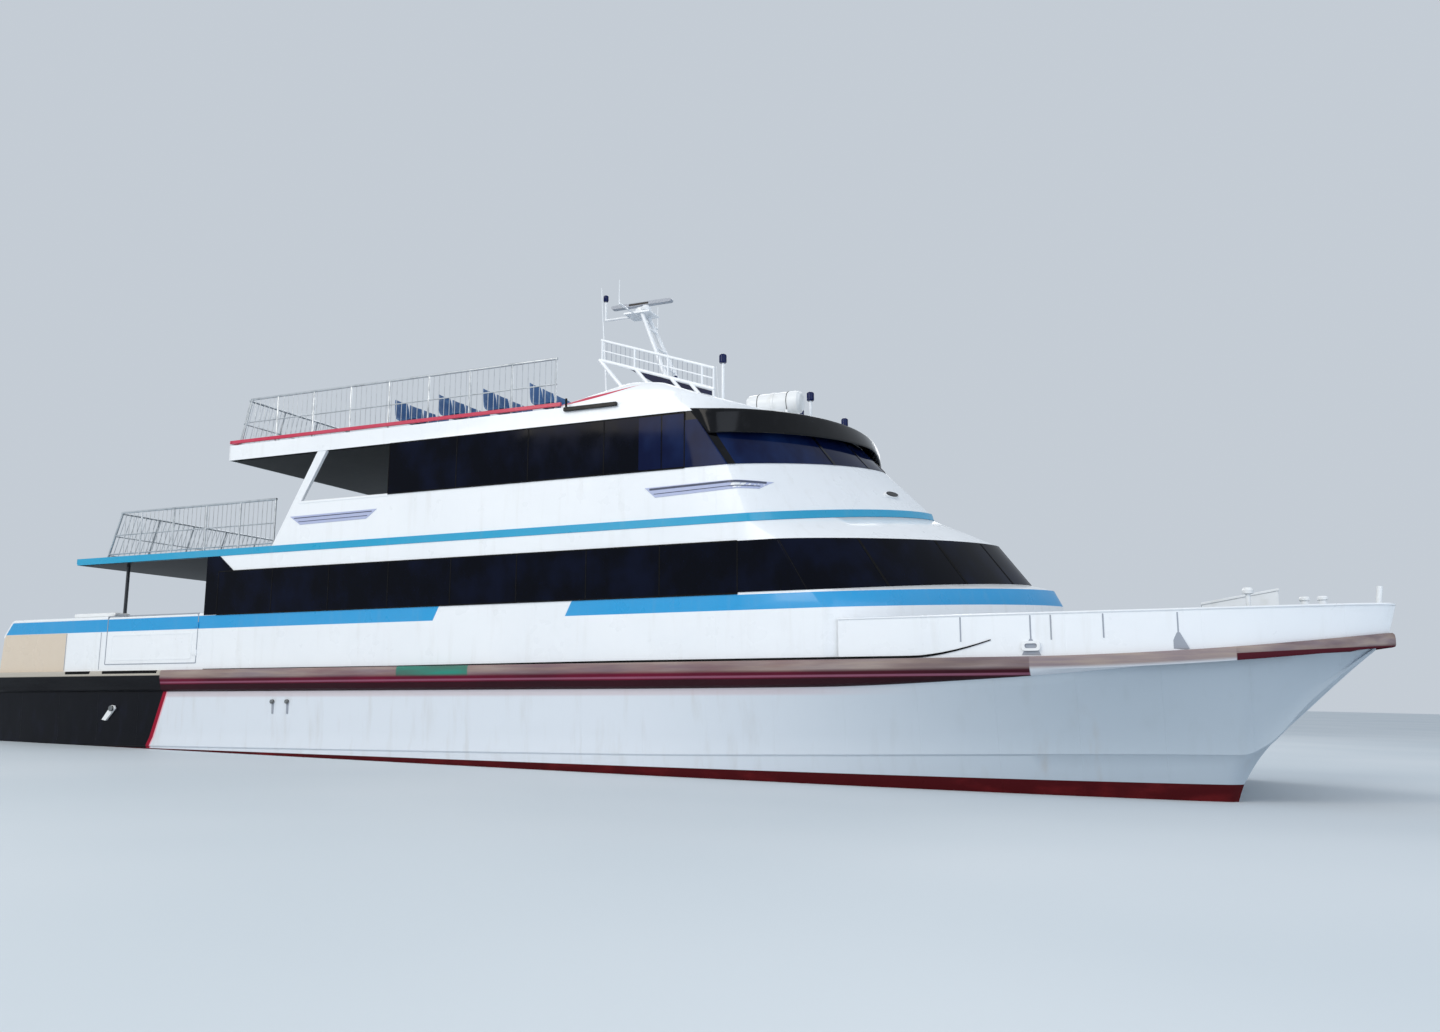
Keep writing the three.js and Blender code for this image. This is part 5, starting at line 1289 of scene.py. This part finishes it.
def seat_shell(x, y0, y1, floor, back):
    """One seat: a sheet carried along a bent line from the lip over the pan to the top of the back,
    dished across its width and round at its upper corners, 18 mm thick."""
    line = np.array([(0.215, 0.405), (0.23, 0.43), (0.2, 0.447), (0.05, 0.435), (-0.15, 0.425), (-0.235, 0.44),
                     (-0.275, 0.5), (-0.29, 0.6), (-0.305, 0.75), (-0.33, back - 0.02)])
    run = np.linspace(0, 1, len(line))
    steps = np.linspace(0, 1, 18)
    along = smooth_curve(run, line[:, 0], steps)[:, None] + x
    height = smooth_curve(run, line[:, 1], steps)[:, None] + floor
    across = np.linspace(-1, 1, 9)[None]
    dish = 0.018 * (1 - across ** 2)
    narrow = 1 - 0.16 * np.clip((steps[:, None] - 0.8) / 0.2, 0, 1) ** 2
    y = (y0 + y1) / 2 + (y1 - y0) / 2 * across * narrow
    upright = np.clip((steps[:, None] - 0.4) / 0.3, 0, 1)
    top = np.stack([along - dish * upright, y, height - dish * (1 - upright)], axis=-1)
    shift = np.stack([-0.018 * upright, 0 * upright, -0.018 * (1 - upright)], axis=-1)
    return skin(np.concatenate([top, (top + shift)[:, ::-1]], axis=1))


def seat_rows(name, rows, inner, outer, count, floor, back, materials, replaced):
    """Rows of seat shells on both sides of the aisle, each half row on a beam with two pedestals."""
    shape = Shape()
    pitch = (outer - inner) / count
    seat = seat_shell(rows[0], -inner - pitch + 0.015, -inner - 0.015, floor, back)
    lone = copies(seat, -np.arange(count)[:, None] * (0, pitch, 0))
    shifts = (np.array(rows) - rows[0])[:, None] * (1, 0, 0)
    shape.add(copies(lone, shifts), 0, True)
    x = rows[0]
    beam = tube([(x, -inner - 0.05, floor + 0.385), (x, -outer + 0.05, floor + 0.385)], 0.025, 10)
    shape.add(copies(beam, shifts), 1, True)
    for share in (0.2, 0.8):
        y = -inner - (outer - inner) * share
        leg = tube([(x, y, floor + 0.01), (x, y, floor + 0.38)], 0.022, 10)
        foot = block(x - 0.16, x + 0.16, y - 0.04, y + 0.04, floor + 0.001, floor + 0.012)
        shape.add(copies(leg, shifts), 1, True).add(copies(foot, shifts), 1, True)
    make(name, shape, materials, replaces=[replaced])


def build_seats():
    seat_rows("seats_main_shells", np.linspace(-6.4, 4.4, 8), 1.2, 3.5, 5, DECK, 1.08, ["seat", "alloy"], "seats_main")
    seat_rows("seats_upper_shells", np.linspace(-2.3, 1.7, 4), 0.7, 3.5, 6, UPPER_DECK, 1.08, ["seat", "alloy"],
              "seats_upper")
    seat_rows("benches_top_shells", np.linspace(-3.6, -0.3, 4), 0.9, 3.3, 5, TOP_DECK, 0.9, ["bench", "alloy"],
              "benches_top")


def build_helm():
    """Console with a raked top, screens, throttle levers and wheel, and the helmsman's chair."""
    floor = UPPER_DECK + 0.001
    outline = [(3.6, floor), (3.62, 5.1), (3.72, 5.16), (4.1, 5.25), (4.33, 5.2), (4.35, floor)]
    shape = Shape().add(plate(outline, -1.5, 1.5))
    for y in (-0.95, -0.3, 0.35, 1.0):
        screen = [(3.74, 5.17), (3.98, 5.225), (3.98, 5.245), (3.74, 5.19)]
        shape.add(plate(screen, y - 0.22, y + 0.22), 1)
    for y in (-0.62, -0.54):
        shape.add(tube([(3.72, y, 5.15), (3.66, y, 5.32)], 0.012, 8), 1)
    turn = np.linspace(0, 2 * math.pi, 33)
    wheel = np.column_stack([3.5 + 0.0 * turn, 0.2 * np.cos(turn), 5.02 + 0.2 * np.sin(turn)])
    shape.add(tube(wheel, 0.015, 8), 1)
    for spoke in (0.5, 2.6, 4.7):
        shape.add(tube([(3.5, 0, 5.02), (3.5, 0.2 * math.cos(spoke), 5.02 + 0.2 * math.sin(spoke))], 0.01, 8), 1)
    shape.add(tube([(3.5, 0, 5.02), (3.62, 0, 5.02)], 0.03, 12), 1)
    shape.add(turned([(0.25, 0.0), (0.25, 0.02), (0.05, 0.04), (0.04, 0.42), (0.12, 0.44)], (2.975, 0, floor), 2, 24), 2)
    make("helm_console", shape, ["desk", "black", "alloy"], replaces=["helm"], bevel=0.006)
    for name, centre, size, tall in (("helm_seat_cushion", (2.985, 0, 4.9), (0.235, 0.25, 0.055), 0),
                                     ("helm_back_cushion", (2.755, 0, 5.22), (0.04, 0.24, 0.28), 1)):
        cushion = make(name, Shape().add(crowned(centre, size, tall)), ["cover"])


def crowned(centre, size, tall):
    """Crowned cushion: a rounded box whose faces swell in their middle and whose sides pull in between
    the corners. Its rings run round the thin axis, and tall turns that axis from z to x."""
    turn = np.linspace(0, 2 * math.pi, 48, endpoint=False)
    rise = np.linspace(-1, 1, 13)[:, None]
    power = 0.35
    u = np.sign(np.cos(turn)) * np.abs(np.cos(turn)) ** power
    v = np.sign(np.sin(turn)) * np.abs(np.sin(turn)) ** power
    pull = 1 - 0.03 * np.cos(2 * turn) ** 2
    spread = np.maximum(0.02, (1 - np.abs(rise) ** 5)) ** 0.5
    spread[0], spread[-1] = 0.02, 0.02
    inward = np.array([1.0, 0.97, 0.9, 0.5])
    thin = np.sign(rise) * np.minimum(1.0, np.abs(rise) ** 0.5 * inward[0])
    first, second, third = u * pull * spread, v * pull * spread, thin + 0 * u
    axes = (third, first, second) if tall else (first, second, third)
    return skin(np.stack([centre[i] + size[i] * axes[i] for i in range(3)], axis=-1))


def build_foredeck():
    """Locker and its lid, round bitts, goose-neck vents, the posts at the stems and deck hatches."""
    # The locker's top rises forward
    aft, fore, half, low, high = 11.4, 12.6, 0.7, 2.87, 3.07
    base = DECK + float(sheer(fore)) + LAID
    box = Shape()
    for y in (-half, half - 0.04):
        box.add(plate([(aft, DECK + float(sheer(aft)) + LAID), (fore, base), (fore, high - LAID), (aft, low - LAID)],
                      y, y + 0.04))
    box.add(block(aft, aft + 0.04, -half + 0.04, half - 0.04, DECK + float(sheer(aft)) + LAID, low - LAID))
    box.add(block(fore - 0.04, fore, -half + 0.04, half - 0.04, base, high - 0.008))
    box.add(block(aft + 0.04, fore - 0.04, -half + 0.04, half - 0.04, base + 0.01, base + 0.05))
    make("locker_walls", box, ["shell"], replaces=["locker"], bevel=0.008)
    slope = (high - low) / (fore - aft)
    ends = [(x, low + slope * (x - aft) + 0.0008) for x in (aft - 0.015, fore + 0.015)]
    lid = Shape().add(plate([ends[0], ends[1], (ends[1][0], ends[1][1] + 0.042), (ends[0][0], ends[0][1] + 0.042)],
                            -half - 0.015, half + 0.015))
    for y in (-0.35, 0.0, 0.35):
        rib = [(aft + 0.1, low + slope * 0.1 + 0.041), (fore - 0.1, high - slope * 0.1 + 0.041),
               (fore - 0.12, high - slope * 0.12 + 0.055), (aft + 0.12, low + slope * 0.12 + 0.055)]
        lid.add(plate(rib, y - 0.06, y + 0.06))
    make("locker_lid_panel", lid, ["shell"], "locker_lid", ["locker_lid"], bevel=0.008)

    bitts = Shape()
    x, y = 12.95, -3.0
    base = DECK + float(sheer(x + 0.2)) + LAID
    post = [(0.055, 0.02), (0.055, 0.57), (0.075, 0.585), (0.075, 0.62), (0.06, 0.638), (0.02, 0.64)]
    bitts.add(slab(rounded(x - 0.2, x + 0.2, base, base + 0.025, 0.01), 1, y - 0.09, y + 0.09))
    bitts.add(copies(turned(post, (x, y, base), 2, 24), [(-0.12, 0, 0), (0.12, 0, 0)]))
    bitts.add(tube([(x - 0.19, y, base + 0.5), (x + 0.19, y, base + 0.5)], 0.026, 14))
    make_pair("bitt_posts", bitts, ["shell"], replaces=["bitt"])

    fittings = Shape()
    vent_x, vent_y = 12.07, -3.0
    base = DECK + float(sheer(vent_x))
    cap = [(0.035, 0.0), (0.035, 0.8), (0.08, 0.81), (0.085, 0.86), (0.06, 0.9), (0.01, 0.91)]
    fittings.add(turned(cap, (vent_x, vent_y, base), 2, 20))
    tip_x = 13.74
    base = DECK + float(sheer(tip_x))
    fittings.add(tube([(tip_x, -2.93, base), (tip_x + 0.09, -2.95, base + 0.7)], 0.04, 12))
    for x, y in ((9.9, -3.2), (11.6, -3.05)):
        base = DECK + float(sheer(x))
        fittings.add(turned([(0.02, 0.0), (0.3, 0.0), (0.3, 0.03), (0.27, 0.045), (0.02, 0.05)], (x, y, base), 2, 36))
    for x, y in ((10.5, -3.35), (12.45, -2.5)):
        base = DECK + float(sheer(x))
        fittings.add(tube([(x - 0.16, y, base + 0.09), (x - 0.09, y, base + 0.08), (x + 0.09, y, base + 0.08),
                           (x + 0.16, y, base + 0.09)], 0.018, 10))
        fittings.add(copies(tube([(x, y, base), (x, y, base + 0.08)], 0.02, 10), [(-0.07, 0, 0), (0.07, 0, 0)]))
    make_pair("foredeck_fittings", fittings, ["shell"])


# Sloping wind screens beside the wheelhouse roof
SCREEN = {"y": -3.45, "aft": 1.08, "fore": 3.45, "top": 7.7, "fall": 0.35, "rake": 1.2, "rail": 0.4}
SCREEN_FEET = (1.65, 2.16, 2.78, 3.18)


def build_wind_screens():
    """Sloping top bar with a hand rail over it, raked struts, and a dark tinted panel under the bar, which is painted
    shade in the openings between the struts.
    """
    y, aft, fore, rail = SCREEN["y"], SCREEN["aft"], SCREEN["fore"], SCREEN["rail"]

    def top_at(x):
        return SCREEN["top"] - (x - aft) * SCREEN["fall"]

    def roof_at(x):
        return float(roof_top(x)) + 0.004

    shape = Shape()
    for up, radius in ((0, 0.034), (rail * 0.5, 0.014), (rail, 0.026)):
        shape.add(tube([(aft, y, top_at(aft) + up), (fore, y, top_at(fore) + up)], radius, 12))
    for foot in SCREEN_FEET:
        back = (top_at(foot) - roof_at(foot)) / (SCREEN["rake"] - SCREEN["fall"])
        shape.add(tube([(foot, y, roof_at(foot)), (foot - back, y, top_at(foot - back))], 0.036, 12))
    for x in (aft + 0.02, 1.8, 2.5, 3.2):
        shape.add(tube([(x, y, top_at(x)), (x, y, top_at(x) + rail)], 0.02, 10))
    end = fore - 0.02
    shape.add(tube([(end, y, roof_at(end)), (end, y, top_at(end) + rail)], 0.022, 10))
    for x in (*SCREEN_FEET, end):
        shape.add(turned([(0.055, -0.05), (0.055, 0.012), (0.04, 0.02)], (x, y, roof_at(x)), 2, 16))
    # Dark tinted panel under the bar: painted shade where the openings between the struts lie in shadow.
    panel = [(1.7, top_at(1.7) - 0.03), (fore - 0.05, top_at(fore) - 0.03), (fore - 0.05, roof_at(fore) + 0.05),
             (2.5, roof_at(2.5) + 0.06), (2.2, roof_at(2.2) + 0.1)]
    shape.add(plate(panel, y - 0.006, y + 0.006), 1)
    mesh = [(aft + 0.03, top_at(aft) + rail - 0.03), (fore - 0.05, top_at(fore) + rail - 0.03),
            (fore - 0.05, top_at(fore) + 0.04), (aft + 0.03, top_at(aft) + 0.04)]
    bars = np.arange(aft + 0.12, fore, 0.1)
    for x in bars:
        shape.add(tube([(x, y, top_at(x)), (x, y, top_at(x) + rail)], 0.005, 6), 2)
    make_pair("wind_screen_frame", shape, ["white", "screen", "grey"], replaces=["wind_screen"])
    return mesh


RADAR = {"x": 0.17, "z": 9.9}


def lamp(shape, x, y, z, slot, radius=0.062, height=0.16):
    """All-round light: a lens between a foot and a domed cap."""
    dome = np.linspace(0, math.pi / 2 - 0.1, 5)
    cap = [(radius * math.cos(a), height + 0.04 * math.sin(a)) for a in dome]
    shape.add(turned([(radius * 0.8, 0.0), (radius, 0.02), (radius, height)] + cap, (x, y, z), 2, 24), slot)


def build_mast():
    """Raked mast with cross bars, the radar's table, yard, pole and masthead light."""
    shape = Shape()
    foot = 1.5
    base = float(roof_top(foot))
    for side in (-1, 1):
        shape.add(tube([(foot, side * 0.52, base + 0.005), (0.25, side * 0.17, RADAR["z"] - 0.06)],
                       np.array([0.062, 0.045]), 16))
        shape.add(turned([(0.13, -0.05), (0.13, 0.02), (0.07, 0.05)], (foot - 0.005, side * 0.52, base), 2, 20))
    for up in (0.2, 0.35, 0.52, 0.68, 0.84):
        x, y, z = foot + (0.25 - foot) * up, 0.52 - 0.35 * up, base + (RADAR["z"] - base) * up
        shape.add(tube([(x, -y, z), (x, y, z)], 0.024, 12))
    shape.add(slab(rounded(-0.15, 0.48, RADAR["z"] - 0.09, RADAR["z"] - 0.05, 0.01), 1, -0.26, 0.26))
    column = [(0.14, -0.05), (0.15, -0.03), (0.15, 0.06), (0.11, 0.098), (0.02, 0.1)]
    shape.add(turned(column, (RADAR["x"], 0, RADAR["z"]), 2, 32))
    shape.add(tube([(-0.1, 0, RADAR["z"] - 0.07), (-0.75, 0, RADAR["z"] - 0.07)], 0.028, 12))
    shape.add(tube([(-0.75, 0, RADAR["z"] - 0.09), (-0.75, 0, 10.29)], 0.022, 12))
    shape.add(tube([(0.1, -0.95, RADAR["z"] - 0.09), (0.1, 0.95, RADAR["z"] - 0.09)], 0.018, 10))
    for y in (-0.95, 0.95):
        shape.add(tube([(0.1, y, RADAR["z"] - 0.1), (0.1, y, RADAR["z"] + 0.45)], np.array([0.012, 0.006]), 8))
    shape.add(turned([(0.05, 0), (0.11, 0.02), (0.12, 0.07), (0.07, 0.13), (0.02, 0.14)], (0.35, -0.15, RADAR["z"] - 0.05), 2, 24))
    lamp(shape, -0.75, 0, 10.275, 1, 0.06, 0.12)
    lamp(shape, 1.02, 0.0, base + 1.25, 1, 0.05, 0.1)
    make("mast_frame", shape, ["white", "lens"], replaces=["mast"])
    beam = rounded(RADAR["x"] - 0.75, RADAR["x"] + 0.75, RADAR["z"] + 0.145, RADAR["z"] + 0.225, 0.035)
    turning = Shape().add(slab(beam, 1, -0.07, 0.07))
    turning.add(slab(rounded(RADAR["x"] - 0.3, RADAR["x"] + 0.2, RADAR["z"] + 0.16, RADAR["z"] + 0.21, 0.02), 1, -0.0705,
                     -0.066), 1)
    turning.add(turned([(0.06, 0.1003), (0.06, 0.14), (0.05, 0.145)], (RADAR["x"], 0, RADAR["z"]), 2, 24))
    make("radar_scanner_beam", turning, ["grey", "black"], "radar_scanner", ["radar_scanner"], bevel=0.012)


def build_roof_gear():
    """Side lights on posts, rafts in their canisters on cradles, horns, searchlight and whip aerials."""
    posts = Shape()
    # Columns: x, y, foot, height of the lamp
    for x, y, z in ((3.13, -2.3, 7.72), (4.52, -1.15, 7.1)):
        foot = float(roof_top(min(x, 4.6)))
        posts.add(tube([(x, y, foot - 0.01), (x, y, z)], 0.028, 12))
        posts.add(turned([(0.09, -0.02), (0.09, 0.012), (0.035, 0.03)], (x, y, foot), 2, 20))
        lamp(posts, x, y, z, 1, 0.075, 0.15)
    make_pair("light_posts", posts, ["white", "lens"])
    rafts = Shape()
    profile = [(0.02, -0.56), (0.16, -0.55), (0.215, -0.5), (0.225, -0.44), (0.225, -0.03), (0.235, -0.025), (0.235, 0.025),
               (0.225, 0.03), (0.225, 0.44), (0.215, 0.5), (0.16, 0.55), (0.02, 0.56)]
    for x, y in ((4.0, -1.75), (1.1, -1.9)):
        level = float(roof_top(x))
        rafts.add(turned(profile, (x, y, level + 0.33), 0, 32))
        for dx in (-0.3, 0.3):
            cradle = [(y - 0.24, level - 0.04), (y + 0.24, level - 0.04), (y + 0.2, level + 0.16), (y, level + 0.11),
                      (y - 0.2, level + 0.16)]
            rafts.add(slab(cradle, 0, x + dx - 0.02, x + dx + 0.02))
            strap = np.linspace(0, 2 * math.pi, 33)
            ring = np.column_stack([x + dx + 0 * strap, y + 0.228 * np.cos(strap), level + 0.33 + 0.228 * np.sin(strap)])
            rafts.add(tube(ring, 0.006, 6), 1)
    make_pair("raft_canisters", rafts, ["shell", "rubber"])
    gear = Shape()
    for y in (-0.35, -0.22):
        level = float(roof_top(2.7)) + 0.12
        horn = [(0.03, -0.1), (0.032, 0.0), (0.02, 0.06), (0.024, 0.22), (0.045, 0.34), (0.085, 0.4), (0.075, 0.4), (0.02, 0.3)]
        gear.add(turned(horn, (2.7, y, level), 0, 24), 1)
        gear.add(block(2.66, 2.74, y - 0.02, y + 0.02, level - 0.14, level))
    level = float(roof_top(3.6))
    gear.add(tube([(3.6, 0.6, level - 0.01), (3.6, 0.6, level + 0.22)], 0.03, 12))
    gear.add(turned([(0.02, -0.11), (0.09, -0.1), (0.115, -0.02), (0.12, 0.1), (0.11, 0.11), (0.02, 0.105)],
                    (3.6, 0.6, level + 0.3), 0, 28), 1)
    for y in (-2.9, 2.9):
        foot = float(roof_top(0.9)) - 0.02
        gear.add(tube([(0.9, y, foot), (0.9, y, foot + 0.35), (0.75, y, foot + 2.6)], np.array([0.02, 0.016, 0.005]), 8))
    make("roof_gear", gear, ["white", "steel"])


# Carried-over solids and the material each one gets
KEPT = {
    "banded": ["house_side_starboard", "house_side_port", "stern_bulwark_starboard", "stern_bulwark_port",
               "gate_starboard", "gate_port"],
    "white": ["house_aft", "upper_side_starboard", "upper_side_port", "upper_aft", "transom_bulwark"],
    "hull": ["bridge_deck", "bridge_nose"],
    "deck": ["main_deck", "upper_deck", "top_deck"],
    "glass": ["glass_main_starboard", "glass_main_port", "glass_upper_starboard", "glass_upper_port"],
}


def dress_solids():
    for key, names in KEPT.items():
        for name in names:
            NODES[name].data.materials.clear()
            NODES[name].data.materials.append(MATERIAL[key])


# Columns: name, place, aimed at, size, watts, colour
LAMPS = [
    ("key", (-10, -40, 30), (0, 0, 4), 30, 9500, "#fff8ee"),
    ("fill", (34, -26, 12), (6, 0, 3), 24, 2600, "#e6f0ff"),
    ("back", (-10, 30, 24), (0, 0, 4), 24, 4000, "#ffffff"),
]


def build_stage():
    """Pale floor at the waterline, tilted with the boat's trim, soft lights and the camera."""
    size = 400.0
    corners = np.array([(-size, -size), (size, -size), (size, size), (-size, size)])
    level = WATER["at_midships"] + WATER["slope"] * corners[:, :1]
    mesh = bpy.data.meshes.new("floor")
    mesh.from_pydata(np.hstack([corners, level]).tolist(), [], [(0, 1, 2, 3)])
    finish = Finish("pale_floor")
    cloud = patches(finish, (9000, 9000, 9000), 0.3, 0.7, 2.0)
    pale = over(finish, cloud, srgb("#cdd6dc"), srgb("#d6dde2"))
    mesh.materials.append(finish.shade(Base_Color=pale, Roughness=0.6))
    floor = bpy.data.objects.new("floor", mesh)
    bpy.context.scene.collection.objects.link(floor)

    world = bpy.data.worlds.new("studio")
    bpy.context.scene.world = world
    world.use_nodes = True
    world.node_tree.nodes["Background"].inputs[0].default_value = srgb("#dfe8f2")
    world.node_tree.nodes["Background"].inputs[1].default_value = 0.75
    for name, place, aim, span, watts, code in LAMPS:
        light = bpy.data.lights.new(name, "AREA")
        light.size = span
        light.energy = watts
        light.color = srgb(code)[:3]
        lit = bpy.data.objects.new(name, light)
        lit.location = place
        x, y, z = np.array(aim) - np.array(place)
        lit.rotation_euler = (math.atan2(math.hypot(x, y), -z), 0, math.atan2(y, x) - math.pi / 2)
        bpy.context.scene.collection.objects.link(lit)

    camera = bpy.data.objects.new("camera", bpy.data.cameras.new("camera"))
    camera.data.lens = 28.75
    camera.data.sensor_width = 36
    camera.data.clip_end = 1500
    camera.location = (11.541, -22.146, 1.177)
    camera.rotation_euler = (math.radians(90 + 9.32), 0, math.radians(23.12))
    bpy.context.scene.collection.objects.link(camera)
    bpy.context.scene.camera = camera
    bpy.context.scene.view_settings.view_transform = "Standard"


build_stage()
dress_solids()
build_hulls()
build_jets()
build_rub_rails()
build_fronts()
build_visor()
build_roof()
build_deck_edges()
build_bow_bulwarks()
build_stern_bulwarks()
build_outlet()
build_rails()
build_upper_trim()
build_windows()
build_doors()
build_stairs()
build_seats()
build_helm()
build_foredeck()
build_wind_screens()
build_mast()
build_roof_gear()
